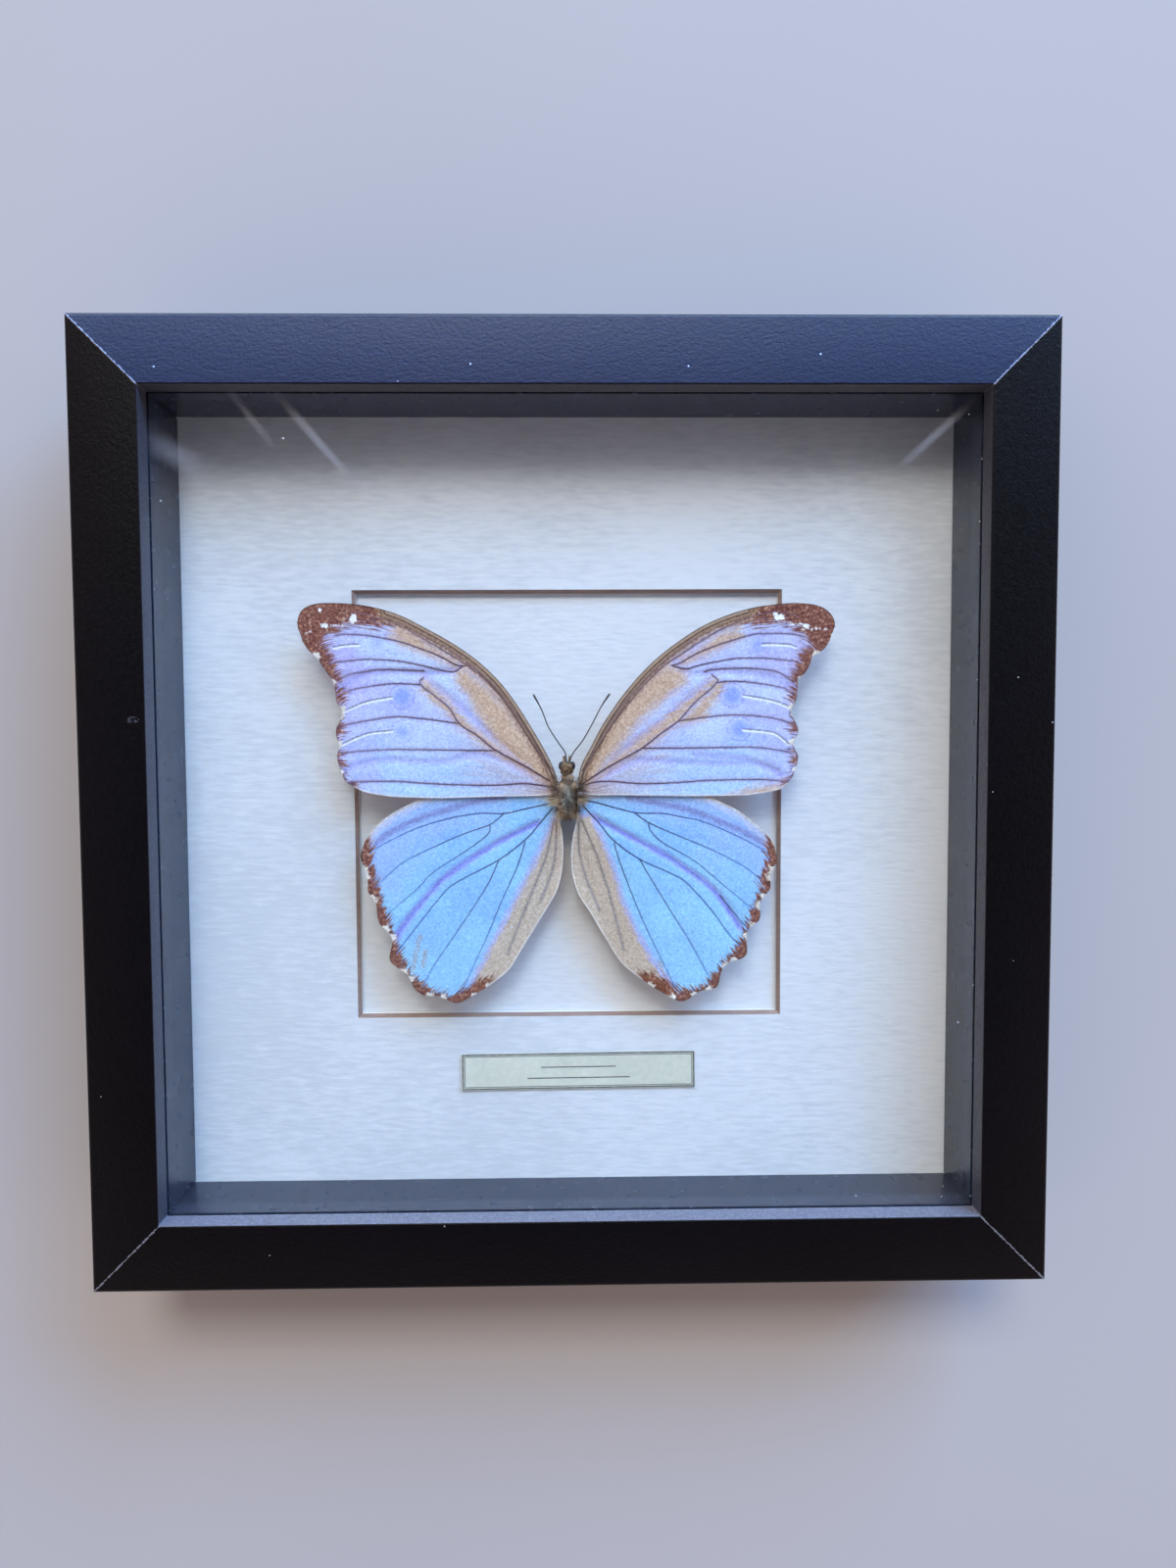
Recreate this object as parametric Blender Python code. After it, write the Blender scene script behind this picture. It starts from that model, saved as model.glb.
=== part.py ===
"""Framed butterfly specimen: a deep black box frame, a pale mat with a bevelled window, and a set butterfly.

The frame lies on its back. +Z points out through the pane, +Y to the top of the picture, +X to its right.
The origin is the centre of the back edge, so the frame rests on Z = 0. Lengths are in metres.
"""

import math

import bmesh
import bpy
from mathutils import Matrix, Vector

MM = 0.001

# Driving dimensions of the frame
SIDE = 250 * MM
DEPTH = 45 * MM
FACE_WIDTH = 17.5 * MM
WALL = 10 * MM
LIP = 6.4 * MM
TOUCH_GAP = 0.3 * MM
OUTER_ROUND = 0.9 * MM
INNER_ROUND = 0.5 * MM
BACK_ROUND = 0.8 * MM

# What lies in the rebate, from the pane down to the back
PANE = 1.2 * MM
MAT_DROP = 25.8 * MM
MAT = 2.2 * MM
BEVEL = 1.1 * MM
CARD = 1.5 * MM
BACK_PANEL = 3 * MM
SPACER_LEAN = 1.2 * MM
WINDOW = (119.2 * MM, 119.6 * MM)
WINDOW_CENTRE = (-0.4 * MM, -0.2 * MM)
LABEL = (65.8 * MM, 10.4 * MM, 0.25 * MM)
LABEL_CENTRE = (2.0 * MM, -75.4 * MM)
LABEL_TURN = math.radians(0.4)

# What holds the back in, and what the frame hangs from
TAB_WIDTH = 9 * MM
TAB_REACH = 8 * MM
TAB_ROOT = 3.4 * MM
TAB_THICK = 0.6 * MM
TAB_PLACE = 62 * MM
HANGER_LENGTH = 44 * MM
HANGER_WIDTH = 8 * MM
HANGER_THICK = 0.7 * MM
HANGER_BOW = 1.2 * MM
HANGER_TEETH = 9
HANGER_Y = 98 * MM

# The butterfly
BODY_X = -0.6 * MM
THORAX_MIDDLE = (BODY_X, 2.8 * MM, 28.2 * MM)
THORAX_HALF = (2.4 * MM, 5.6 * MM, 3.0 * MM)
HEAD_MIDDLE = (BODY_X - 0.2 * MM, 10.5 * MM, 28.4 * MM)
HEAD_HALF = (2.0 * MM, 1.75 * MM, 1.6 * MM)
EYE_RADIUS = 1.3 * MM
EYE_OUT = 1.25 * MM
PALP_HALF = (0.32 * MM, 1.3 * MM, 0.35 * MM)
FOREWING_TOP = 27.9 * MM
HINDWING_TOP = 26.9 * MM
WING_THICK = 0.4 * MM
WING_RISE = 0.8 * MM
WING_SPAN_HALF = 72 * MM
WING_CELL = 9 * MM
ANTENNA_RADIUS = 0.16 * MM
CLUB_RADIUS = 0.27 * MM

# Heights that follow from the driving dimensions
LIP_UNDER = DEPTH - LIP
PANE_TOP = LIP_UNDER - TOUCH_GAP
PANE_UNDER = PANE_TOP - PANE
MAT_TOP = DEPTH - MAT_DROP
MAT_UNDER = MAT_TOP - MAT
CARD_TOP = MAT_UNDER - TOUCH_GAP
CARD_UNDER = CARD_TOP - CARD
PANEL_TOP = CARD_UNDER - TOUCH_GAP
PANEL_UNDER = PANEL_TOP - BACK_PANEL
TAB_TOP = PANEL_UNDER - TOUCH_GAP
REBATE_HALF = SIDE / 2 - WALL
FITTED_HALF = REBATE_HALF - TOUCH_GAP
SPACER_HEAD = SIDE / 2 - FACE_WIDTH
SPACER_FOOT = SPACER_HEAD - SPACER_LEAN

SIDES = {"bottom": 0, "right": 90, "top": 180, "left": 270}

# Wing outlines in millimetres: out along the leading edge, down the scalloped margin, back to the body.
LEFT_FOREWING = [
    (-3.4, 7.2), (-4.5, 10.7), (-7, 15.8), (-10, 21), (-14.5, 28.2), (-19, 34.1), (-24.5, 39.4), (-30, 43.4),
    (-35, 46.4), (-40, 49.1), (-45, 51.6), (-50, 53.3), (-55, 54.4), (-60, 54.9), (-65, 55), (-68, 54.7),
    (-70.4, 53.8), (-71.8, 52.4), (-72.6, 50), (-72.3, 48.2), (-71.6, 46.4), (-71.2, 44.8), (-69.6, 42.4),
    (-67.6, 40.6), (-66.3, 38.6), (-64.9, 36.4), (-63.2, 34), (-62.8, 31), (-62.4, 28.4), (-61, 26.9),
    (-61.2, 24.5), (-62.7, 21.5), (-62.6, 18.9), (-61.7, 17), (-62.5, 14.5), (-62.2, 11.7), (-61.2, 9),
    (-60.3, 7.3), (-58, 5.6), (-55, 4.3), (-50, 3.3), (-45, 2.9), (-35, 2.6), (-20, 2.9), (-8, 3.1),
    (-3.6, 3.7),
]
RIGHT_FOREWING = [
    (2.2, 7.2), (3.1, 11.3), (5.6, 16), (8.5, 21.5), (11.7, 26.4), (15, 30.9), (20, 36.6), (25, 41.2),
    (30, 44.9), (35, 48.1), (40, 50.5), (45, 52.3), (50, 53.6), (55, 54.3), (60, 54.7), (65, 54.4),
    (68, 53.6), (70.2, 52.1), (71.4, 50.2), (71.6, 48.6), (71, 46.9), (70.4, 45.2), (69.2, 43),
    (67.4, 41.4), (65.6, 40.3), (64.8, 38), (63.6, 36), (61.9, 34.4), (61.6, 31.5), (61.2, 28.6), (60, 26.7),
    (60.2, 24.5), (61.7, 21.5), (61.7, 19.5), (60.5, 17.5), (61, 15.5), (61.9, 13.5), (61.5, 11.2), (60.4, 8),
    (58.8, 5.9), (57, 4.5), (50, 3.2), (43, 2.8), (30, 2.8), (15, 3.1), (6, 3.2), (2.4, 3.7),
]
LEFT_HINDWING = [
    (-3.5, 3), (-14, 5.2), (-27, 5.6), (-37, 3.8), (-43.2, 1.1), (-48.6, -1.8), (-52.7, -5), (-55.7, -9.1),
    (-57, -13.4), (-55.6, -17), (-55.1, -20.4), (-55, -23.1), (-53, -26), (-52.3, -31.2), (-49.4, -34.6),
    (-48.8, -37.3), (-49.5, -41.5), (-47.4, -44), (-44.5, -45.9), (-42.9, -49.6), (-40.3, -51.6),
    (-36.6, -51.8), (-31.8, -53.8), (-28.6, -52.8), (-22.3, -49.1), (-17, -44.9), (-13.6, -39.5),
    (-8.2, -30.9), (-3.9, -23.6), (-2.4, -18.2), (-1.9, -12), (-2.3, -6.5), (-3.4, -2.9),
]
RIGHT_HINDWING = [
    (2.3, 3), (12, 5.2), (25, 5.6), (34, 4.1), (40.9, 1.1), (45.5, -1.1), (49.1, -3.8), (53.4, -7.4),
    (55.7, -11.1), (56.5, -15.2), (54.7, -19), (54.7, -22.8), (51.9, -26.8), (51.8, -31.2), (48.4, -34.6),
    (48.3, -40.6), (46.2, -42.4), (43.9, -42.9), (41.5, -45.4), (40, -50.1), (35.5, -51.2), (30.9, -53.9),
    (26.6, -52.3), (19.5, -48), (14.1, -43.6), (10, -37.3), (5.5, -29.6), (2.2, -24.4), (0.6, -19),
    (0.2, -14.5), (0.7, -8.5), (2.1, -2.9),
]
LEFT_ANTENNA = [
    (-1.2, 12.7, 30), (-1.9, 15.7, 29.8), (-4.4, 19.9, 29.2), (-6.9, 25.2, 28.6), (-9.7, 30.4, 28.2),
]
RIGHT_ANTENNA = [
    (-0.3, 12.7, 30), (1, 15.2, 29.8), (4.9, 20.1, 29.2), (7.7, 26, 28.6), (10.9, 30.5, 28.2),
]


def clear_scene():
    for obj in list(bpy.data.objects):
        bpy.data.objects.remove(obj, do_unlink=True)


def material(name, colour, roughness, metallic=0.0, alpha=1.0):
    made = bpy.data.materials.new(name)
    made.use_nodes = True
    shader = made.node_tree.nodes["Principled BSDF"]
    shader.inputs["Base Color"].default_value = (*colour, 1)
    shader.inputs["Roughness"].default_value = roughness
    shader.inputs["Metallic"].default_value = metallic
    shader.inputs["Alpha"].default_value = alpha
    return made


def object_from(name, bm, finish, smooth_angle=None):
    """Closes the bmesh into a named object with its faces pointing out."""
    bmesh.ops.recalc_face_normals(bm, faces=bm.faces[:])
    mesh = bpy.data.meshes.new(name)
    bm.to_mesh(mesh)
    bm.free()
    if smooth_angle is not None:
        mesh.shade_smooth()
        mesh.set_sharp_from_angle(angle=math.radians(smooth_angle))
    obj = bpy.data.objects.new(name, mesh)
    bpy.context.scene.collection.objects.link(obj)
    if finish is not None:
        mesh.materials.append(finish)
    return obj


def add_box(bm, low, high):
    size = Vector(high) - Vector(low)
    middle = (Vector(high) + Vector(low)) / 2
    bmesh.ops.create_cube(bm, size=1, matrix=Matrix.Translation(middle) @ Matrix.Diagonal((*size, 1)))


def box_object(name, low, high, finish):
    bm = bmesh.new()
    add_box(bm, low, high)
    return object_from(name, bm, finish)


def arc(middle, radius, start, end, steps):
    """Points on a circle of the profile plane, with angles in degrees."""
    angles = [math.radians(start + (end - start) * i / steps) for i in range(steps + 1)]
    return [(middle[0] + radius * math.cos(a), middle[1] + radius * math.sin(a)) for a in angles]


def bridge(bm, loop_a, loop_b):
    for i in range(len(loop_a)):
        j = (i + 1) % len(loop_a)
        bm.faces.new((loop_a[i], loop_a[j], loop_b[j], loop_b[i]))


def rail_profile():
    """The L section of a rail as (distance in from the outer face, height), with three rounded edges."""
    inner_edge = arc((FACE_WIDTH - INNER_ROUND, DEPTH - INNER_ROUND), INNER_ROUND, 0, 90, 4)
    outer_edge = arc((OUTER_ROUND, DEPTH - OUTER_ROUND), OUTER_ROUND, 90, 180, 5)
    back_edge = arc((BACK_ROUND, BACK_ROUND), BACK_ROUND, 180, 270, 3)
    return [(WALL, 0), (WALL, LIP_UNDER), (FACE_WIDTH, LIP_UNDER)] + inner_edge + outer_edge + back_edge


def make_rail(side, finish):
    """One mitred rail, drawn as the bottom one and turned to its side, with slots for two tabs."""
    mitre_gap = TOUCH_GAP / math.sqrt(2)
    bm = bmesh.new()
    ends = []
    for direction in (-1, 1):
        loop = []
        for inward, height in rail_profile():
            reach = SIDE / 2 - inward - mitre_gap
            loop.append(bm.verts.new((direction * reach, inward - SIDE / 2, height)))
        bm.faces.new(loop)
        ends.append(loop)
    bridge(bm, ends[0], ends[1])
    turn = Matrix.Rotation(math.radians(SIDES[side]), 4, "Z")
    bmesh.ops.transform(bm, matrix=turn, verts=bm.verts[:])
    rail = object_from("rail_" + side, bm, finish, smooth_angle=35)
    slots = bmesh.new()
    for place in (-TAB_PLACE, TAB_PLACE):
        half = TAB_WIDTH / 2 + TOUCH_GAP
        low = (place - half, -REBATE_HALF - TAB_ROOT - TOUCH_GAP, TAB_TOP - TAB_THICK - TOUCH_GAP)
        high = (place + half, -REBATE_HALF + TOUCH_GAP, TAB_TOP + TOUCH_GAP)
        add_box(slots, low, high)
    bmesh.ops.transform(slots, matrix=turn, verts=slots.verts[:])
    cutter = object_from("slots_" + side, slots, None)
    cutter.hide_render = True
    cutter.display_type = "WIRE"
    cut = rail.modifiers.new("tab_slots", "BOOLEAN")
    cut.operation = "DIFFERENCE"
    cut.object = cutter
    return rail


def make_spacer(side, finish):
    """A strip that keeps the pane off the mat, flush with the lip above and leaning in to its foot.

    The upper and lower strips run the full width, and the other two fit between them.
    """
    bm = bmesh.new()
    loops = []
    for height, inner in ((MAT_TOP + TOUCH_GAP, SPACER_FOOT), (PANE_UNDER - TOUCH_GAP, SPACER_HEAD)):
        reach = FITTED_HALF if side in ("top", "bottom") else inner - TOUCH_GAP
        corners = ((-reach, -FITTED_HALF), (reach, -FITTED_HALF), (reach, -inner), (-reach, -inner))
        loops.append([bm.verts.new((x, y, height)) for x, y in corners])
    bm.faces.new(loops[0][::-1])
    bm.faces.new(loops[1])
    bridge(bm, loops[0], loops[1])
    bmesh.ops.transform(bm, matrix=Matrix.Rotation(math.radians(SIDES[side]), 4, "Z"), verts=bm.verts[:])
    return object_from("spacer_" + side, bm, finish)


def make_mat(finish):
    """The mat: its face ply is cut at 45 degrees around the window, and its foot ply is cut square."""
    bm = bmesh.new()
    loops = []
    face_cut = ((MAT_UNDER, 0, True), (MAT_TOP, 0, True), (MAT_TOP, 0, False))
    foot_cut = ((MAT_TOP - BEVEL, BEVEL, False), (MAT_UNDER, BEVEL, False))
    for height, inset, is_outer in face_cut + foot_cut:
        middle = (0, 0) if is_outer else WINDOW_CENTRE
        half_x = FITTED_HALF if is_outer else WINDOW[0] / 2 - inset
        half_y = FITTED_HALF if is_outer else WINDOW[1] / 2 - inset
        corners = ((-1, -1), (1, -1), (1, 1), (-1, 1))
        points = [(middle[0] + sx * half_x, middle[1] + sy * half_y, height) for sx, sy in corners]
        loops.append([bm.verts.new(point) for point in points])
    for i in range(len(loops)):
        bridge(bm, loops[i], loops[(i + 1) % len(loops)])
    return object_from("mat_board", bm, finish)


def make_label(finish):
    half = Vector(LABEL) / 2
    label = box_object("label", -half, half, finish)
    low = MAT_TOP + TOUCH_GAP
    label.location = (*LABEL_CENTRE, low + half.z)
    label.rotation_euler.z = LABEL_TURN
    return label


def make_tab(side, number, finish):
    """A bending steel tab: its root sits in the rail's slot, and its tongue lies under the back panel."""
    place = TAB_PLACE * (-1 if number == 1 else 1)
    half = TAB_WIDTH / 2
    root = -REBATE_HALF - TAB_ROOT
    tip_middle = -REBATE_HALF + TAB_REACH - half
    tongue = arc((0, tip_middle), half, 0, 180, 8)
    bm = bmesh.new()
    outline = [(-half, root), (half, root)] + tongue
    loop = [bm.verts.new((place + x, y, TAB_TOP - TAB_THICK)) for x, y in outline]
    face = bm.faces.new(loop)
    grown = bmesh.ops.extrude_face_region(bm, geom=[face])
    raised = [v for v in grown["geom"] if isinstance(v, bmesh.types.BMVert)]
    bmesh.ops.translate(bm, verts=raised, vec=(0, 0, TAB_THICK))
    bmesh.ops.transform(bm, matrix=Matrix.Rotation(math.radians(SIDES[side]), 4, "Z"), verts=bm.verts[:])
    return object_from(f"tab_{side}_{number}", bm, finish)


def make_hanger(finish):
    """A sawtooth hanger pressed on the back panel. Its middle bows away to let a nail in behind the teeth."""
    bm = bmesh.new()
    half = HANGER_LENGTH / 2
    toothed = HANGER_LENGTH * 0.6
    pitch = toothed / HANGER_TEETH
    outline = [(half, HANGER_WIDTH / 2), (-half, HANGER_WIDTH / 2), (-half, -HANGER_WIDTH / 2)]
    for i in range(HANGER_TEETH):
        left = -toothed / 2 + i * pitch
        outline += [(left, -HANGER_WIDTH / 2), (left + pitch / 2, -HANGER_WIDTH / 2 + pitch / 2)]
    outline += [(toothed / 2, -HANGER_WIDTH / 2), (half, -HANGER_WIDTH / 2)]
    bm.faces.new([bm.verts.new((x, HANGER_Y + y, 0)) for x, y in outline])
    for i in range(1, 12):
        cut_at = -half + HANGER_LENGTH * i / 12
        everything = bm.verts[:] + bm.edges[:] + bm.faces[:]
        bmesh.ops.bisect_plane(bm, geom=everything, dist=1e-7, plane_co=(cut_at, 0, 0), plane_no=(1, 0, 0))
    bmesh.ops.triangulate(bm, faces=bm.faces[:])
    for vert in bm.verts:
        bow = math.cos(math.pi / 2 * vert.co.x / half) ** 2 * HANGER_BOW
        vert.co.z = PANEL_UNDER - TOUCH_GAP - bow
    thicken(bm, HANGER_THICK)
    return object_from("sawtooth_hanger", bm, finish)


def thicken(bm, thickness):
    """Closes a sheet into a solid by a copy of it that lies lower."""
    grown = bmesh.ops.extrude_face_region(bm, geom=bm.faces[:])
    lowered = [v for v in grown["geom"] if isinstance(v, bmesh.types.BMVert)]
    bmesh.ops.translate(bm, verts=lowered, vec=(0, 0, -thickness))


def smooth_outline(points, steps):
    """A closed Catmull-Rom curve through the points."""
    curve = []
    for i in range(len(points)):
        a, b, c, d = (Vector(points[(i + k) % len(points)]) for k in (-1, 0, 1, 2))
        for step in range(steps):
            t = step / steps
            tangent_b, tangent_c = (c - a) / 2, (d - b) / 2
            h00, h10 = 2 * t**3 - 3 * t**2 + 1, t**3 - 2 * t**2 + t
            curve.append(h00 * b + h10 * tangent_b + (1 - h00) * c + (t**3 - t**2) * tangent_c)
    return curve


def make_wing(name, outline, top, finish):
    """A wing as a thin sheet that rises a little from the body to the tip."""
    bm = bmesh.new()
    bm.faces.new([bm.verts.new((p.x * MM, p.y * MM, 0)) for p in smooth_outline(outline, 2)])
    for axis in (0, 1):
        low = min(v.co[axis] for v in bm.verts)
        high = max(v.co[axis] for v in bm.verts)
        cells = round((high - low) / WING_CELL)
        normal = Vector((1 - axis, axis, 0))
        for i in range(1, cells):
            place = normal * (low + (high - low) * i / cells)
            everything = bm.verts[:] + bm.edges[:] + bm.faces[:]
            bmesh.ops.bisect_plane(bm, geom=everything, dist=1e-7, plane_co=place, plane_no=normal)
    bmesh.ops.triangulate(bm, faces=bm.faces[:])
    for vert in bm.verts:
        vert.co.z = top + WING_RISE * (abs(vert.co.x) / WING_SPAN_HALF) ** 2
    thicken(bm, WING_THICK)
    return object_from(name, bm, finish, smooth_angle=40)


def add_egg(bm, middle, half, power=2.0, rings=12, around=16):
    """A closed egg along Y; power 2 is an ellipsoid, and more makes its sides fuller."""
    loops = []
    for i in range(1, rings):
        along = -math.cos(math.pi * i / rings)
        wide = (1 - abs(along) ** power) ** (1 / power)
        turn = [2 * math.pi * k / around for k in range(around)]
        at = Vector(middle) + Vector((0, along * half[1], 0))
        ring = [Vector((math.cos(a) * wide * half[0], 0, math.sin(a) * wide * half[2])) for a in turn]
        loops.append([bm.verts.new(at + point) for point in ring])
    for first, second in zip(loops, loops[1:]):
        bridge(bm, first, second)
    for loop, end in ((loops[0], -half[1]), (loops[-1], half[1])):
        pole = bm.verts.new(Vector(middle) + Vector((0, end, 0)))
        for k in range(around):
            bm.faces.new((loop[k], loop[(k + 1) % around], pole))


def make_thorax(finish):
    bm = bmesh.new()
    add_egg(bm, THORAX_MIDDLE, THORAX_HALF, power=2.6)
    return object_from("thorax", bm, finish, smooth_angle=60)


def make_head(finish):
    """The head with its two round eyes and two short palps in front, joined into one body."""
    bm = bmesh.new()
    add_egg(bm, HEAD_MIDDLE, HEAD_HALF, rings=10)
    head = object_from("head", bm, finish, smooth_angle=60)
    x, y, z = HEAD_MIDDLE
    grown = {}
    for side, name in ((-1, "left"), (1, "right")):
        grown["eye_" + name] = ((x + side * EYE_OUT, y + 0.6 * MM, z), (EYE_RADIUS,) * 3)
        grown["palp_" + name] = ((x + side * 0.65 * MM, y + 2.1 * MM, z - 0.1 * MM), PALP_HALF)
    for name, (middle, half) in grown.items():
        lump = bmesh.new()
        add_egg(lump, middle, half, rings=8, around=12)
        helper = object_from(name, lump, None)
        helper.hide_render = True
        helper.display_type = "WIRE"
        union = head.modifiers.new(name, "BOOLEAN")
        union.operation = "UNION"
        union.object = helper
    return head


def make_antenna(name, route, finish):
    """A thread through the route's points, swollen into a slim club at its end."""
    points = []
    route = [Vector(p) for p in route]
    padded = [route[0] * 2 - route[1]] + route + [route[-1] * 2 - route[-2]]
    for i in range(1, len(route)):
        a, b, c, d = padded[i - 1 : i + 3]
        for step in range(4):
            t = step / 4
            h00, h10 = 2 * t**3 - 3 * t**2 + 1, t**3 - 2 * t**2 + t
            points.append(h00 * b + h10 * (c - a) / 2 + (1 - h00) * c + (t**3 - t**2) * (d - b) / 2)
    points.append(route[-1])
    curve = bpy.data.curves.new(name, "CURVE")
    curve.dimensions = "3D"
    curve.bevel_depth = ANTENNA_RADIUS
    curve.bevel_resolution = 2
    curve.use_fill_caps = True
    spline = curve.splines.new("POLY")
    spline.points.add(len(points) - 1)
    for i, point in enumerate(points):
        share = i / (len(points) - 1)
        club = max(0, 1 - abs(share - 0.93) / 0.18)
        spline.points[i].co = (*(point * MM), 1)
        spline.points[i].radius = 1 + (CLUB_RADIUS / ANTENNA_RADIUS - 1) * club
    curve.materials.append(finish)
    antenna = bpy.data.objects.new(name, curve)
    bpy.context.scene.collection.objects.link(antenna)
    return antenna


def make_mounting_block(finish):
    """The plug of foam that carries the thorax above the card."""
    bm = bmesh.new()
    top = THORAX_MIDDLE[2] - THORAX_HALF[2] - TOUCH_GAP
    add_box(bm, (BODY_X - 2 * MM, -0.6 * MM, CARD_TOP + TOUCH_GAP), (BODY_X + 2 * MM, 6.2 * MM, top))
    upright = [e for e in bm.edges if abs(e.verts[0].co.z - e.verts[1].co.z) > MM]
    bmesh.ops.bevel(bm, geom=upright, offset=0.8 * MM, segments=3, profile=0.5, affect="EDGES")
    return object_from("mounting_block", bm, finish, smooth_angle=40)


def square_sheet(name, low, high, finish):
    return box_object(name, (-FITTED_HALF, -FITTED_HALF, low), (FITTED_HALF, FITTED_HALF, high), finish)


clear_scene()
black_foil = material("black_foil", (0.012, 0.012, 0.014), 0.35)
clear_acrylic = material("clear_acrylic", (0.95, 0.97, 0.97), 0.03, alpha=0.2)
black_strip = material("black_strip", (0.015, 0.015, 0.018), 0.25)
white_mat = material("white_mat", (0.75, 0.77, 0.82), 0.85)
pale_card = material("pale_card", (0.72, 0.73, 0.75), 0.9)
label_paper = material("label_paper", (0.68, 0.71, 0.64), 0.8)
hardboard = material("hardboard", (0.28, 0.17, 0.09), 0.75)
bright_steel = material("bright_steel", (0.6, 0.6, 0.58), 0.35, metallic=1.0)
foam = material("foam", (0.7, 0.68, 0.62), 0.95)
body_hair = material("body_hair", (0.16, 0.13, 0.11), 0.9)
antenna_horn = material("antenna_horn", (0.07, 0.06, 0.05), 0.5)
forewing_scales = material("forewing_scales", (0.42, 0.47, 0.8), 0.45)
hindwing_scales = material("hindwing_scales", (0.16, 0.42, 0.8), 0.45)

for side in SIDES:
    make_rail(side, black_foil)
    make_spacer(side, black_strip)
    for number in (1, 2):
        make_tab(side, number, bright_steel)
square_sheet("pane", PANE_UNDER, PANE_TOP, clear_acrylic)
make_mat(white_mat)
square_sheet("backing_card", CARD_UNDER, CARD_TOP, pale_card)
square_sheet("back_panel", PANEL_UNDER, PANEL_TOP, hardboard)
make_label(label_paper)
make_hanger(bright_steel)
make_mounting_block(foam)
make_thorax(body_hair)
make_head(body_hair)
make_antenna("antenna_left", LEFT_ANTENNA, antenna_horn)
make_antenna("antenna_right", RIGHT_ANTENNA, antenna_horn)
make_wing("forewing_left", LEFT_FOREWING, FOREWING_TOP, forewing_scales)
make_wing("forewing_right", RIGHT_FOREWING, FOREWING_TOP, forewing_scales)
make_wing("hindwing_left", LEFT_HINDWING, HINDWING_TOP, hindwing_scales)
make_wing("hindwing_right", RIGHT_HINDWING, HINDWING_TOP, hindwing_scales)
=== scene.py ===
import math

import bpy
import numpy as np
from mathutils import Matrix, Vector


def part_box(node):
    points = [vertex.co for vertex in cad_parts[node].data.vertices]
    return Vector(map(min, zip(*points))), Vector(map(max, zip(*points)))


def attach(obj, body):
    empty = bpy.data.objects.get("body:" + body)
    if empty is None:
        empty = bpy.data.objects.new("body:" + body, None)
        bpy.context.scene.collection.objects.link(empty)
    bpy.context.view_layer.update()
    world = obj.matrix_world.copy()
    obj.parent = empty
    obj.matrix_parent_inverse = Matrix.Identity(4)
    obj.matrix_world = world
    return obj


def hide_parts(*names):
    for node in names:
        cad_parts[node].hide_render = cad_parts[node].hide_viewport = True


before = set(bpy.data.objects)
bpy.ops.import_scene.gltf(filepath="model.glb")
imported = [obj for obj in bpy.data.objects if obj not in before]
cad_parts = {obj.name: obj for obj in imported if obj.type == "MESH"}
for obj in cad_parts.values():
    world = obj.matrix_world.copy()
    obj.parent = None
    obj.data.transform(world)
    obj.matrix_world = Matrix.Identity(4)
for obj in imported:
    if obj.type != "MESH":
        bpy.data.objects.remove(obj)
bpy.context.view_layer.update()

# ---------------------------------------------------------------------------------------------
# The four rails. Sticks of milled fibreboard with an L section, wrapped in a thin black foil and
# cut at 45 degrees. They are glued at the mitres, where the wrap has worn to a fine pale line.

MM = 0.001
SIDE, DEPTH, FACE_WIDTH, WALL, LIP = 250, 45, 17.5, 10, 6.4
INNER_ROUND, OUTER_ROUND, FOOT_ROUND, MITRE_GAP = 0.5, 0.9, 0.8, 0.02
SCUFF = (-110.7, 24)
SIDES = {"bottom": 0, "right": 90, "top": 180, "left": 270}


def colour(code):
    """sRGB hex to linear."""
    channels = [int(code[i : i + 2], 16) / 255 for i in (1, 3, 5)]
    return [c / 12.92 if c <= 0.04045 else ((c + 0.055) / 1.055) ** 2.4 for c in channels] + [1]


def add(tree, kind, inputs=None, stops=None, **settings):
    """Adds a node, or sets one that is there. An input takes a value, a hex colour, or a node or socket to link."""
    made = tree.nodes.new(kind) if isinstance(kind, str) else kind
    for name, value in settings.items():
        setattr(made, name, value)
    for name, value in (inputs or {}).items():
        if isinstance(value, bpy.types.Node):
            value = next(output for output in value.outputs if output.enabled)
        if isinstance(value, bpy.types.NodeSocket):
            tree.links.new(value, made.inputs[name])
        else:
            made.inputs[name].default_value = colour(value) if isinstance(value, str) else value
    if stops:
        ramp = made.color_ramp.elements
        ramp.remove(ramp[1])
        ramp[0].position, ramp[0].color = stops[0][0], colour(stops[0][1])
        for place, code in stops[1:]:
            ramp.new(place).color = colour(code)
    return made


def new_finish(name):
    """A material, its tree, its shader, and the place on the piece in metres."""
    made = bpy.data.materials.new(name)
    made.use_nodes = True
    tree = made.node_tree
    return made, tree, tree.nodes["Principled BSDF"], add(tree, "ShaderNodeTexCoord").outputs["Object"]


def select_only(*objects):
    bpy.ops.object.select_all(action="DESELECT")
    for obj in objects:
        obj.select_set(True)
    bpy.context.view_layer.objects.active = objects[0]


def wear(piece, finishes):
    for finish in finishes:
        piece.data.materials.append(finish)


def settle(piece, name, slot, finishes, *nodes):
    """Names the finished piece, applies its place, hangs it on the root, and hides the nodes it stands for."""
    piece.name = piece.data.name = name
    select_only(piece)
    bpy.ops.object.transform_apply(location=True, rotation=True, scale=True)
    if not piece.data.materials:
        wear(piece, finishes)
    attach(piece, "root")
    if nodes:
        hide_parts(*nodes)


def dress(finish, *nodes):
    """Gives CAD nodes their finish."""
    for name in nodes:
        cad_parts[name].data.materials.clear()
        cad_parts[name].data.materials.append(finish)


def rounded(middle, radius, start, end, steps):
    """Points on a circle of the profile, with angles in degrees."""
    turns = [math.radians(start + (end - start) * i / steps) for i in range(steps + 1)]
    return [(middle[0] + radius * math.cos(a), middle[1] + radius * math.sin(a)) for a in turns]


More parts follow.
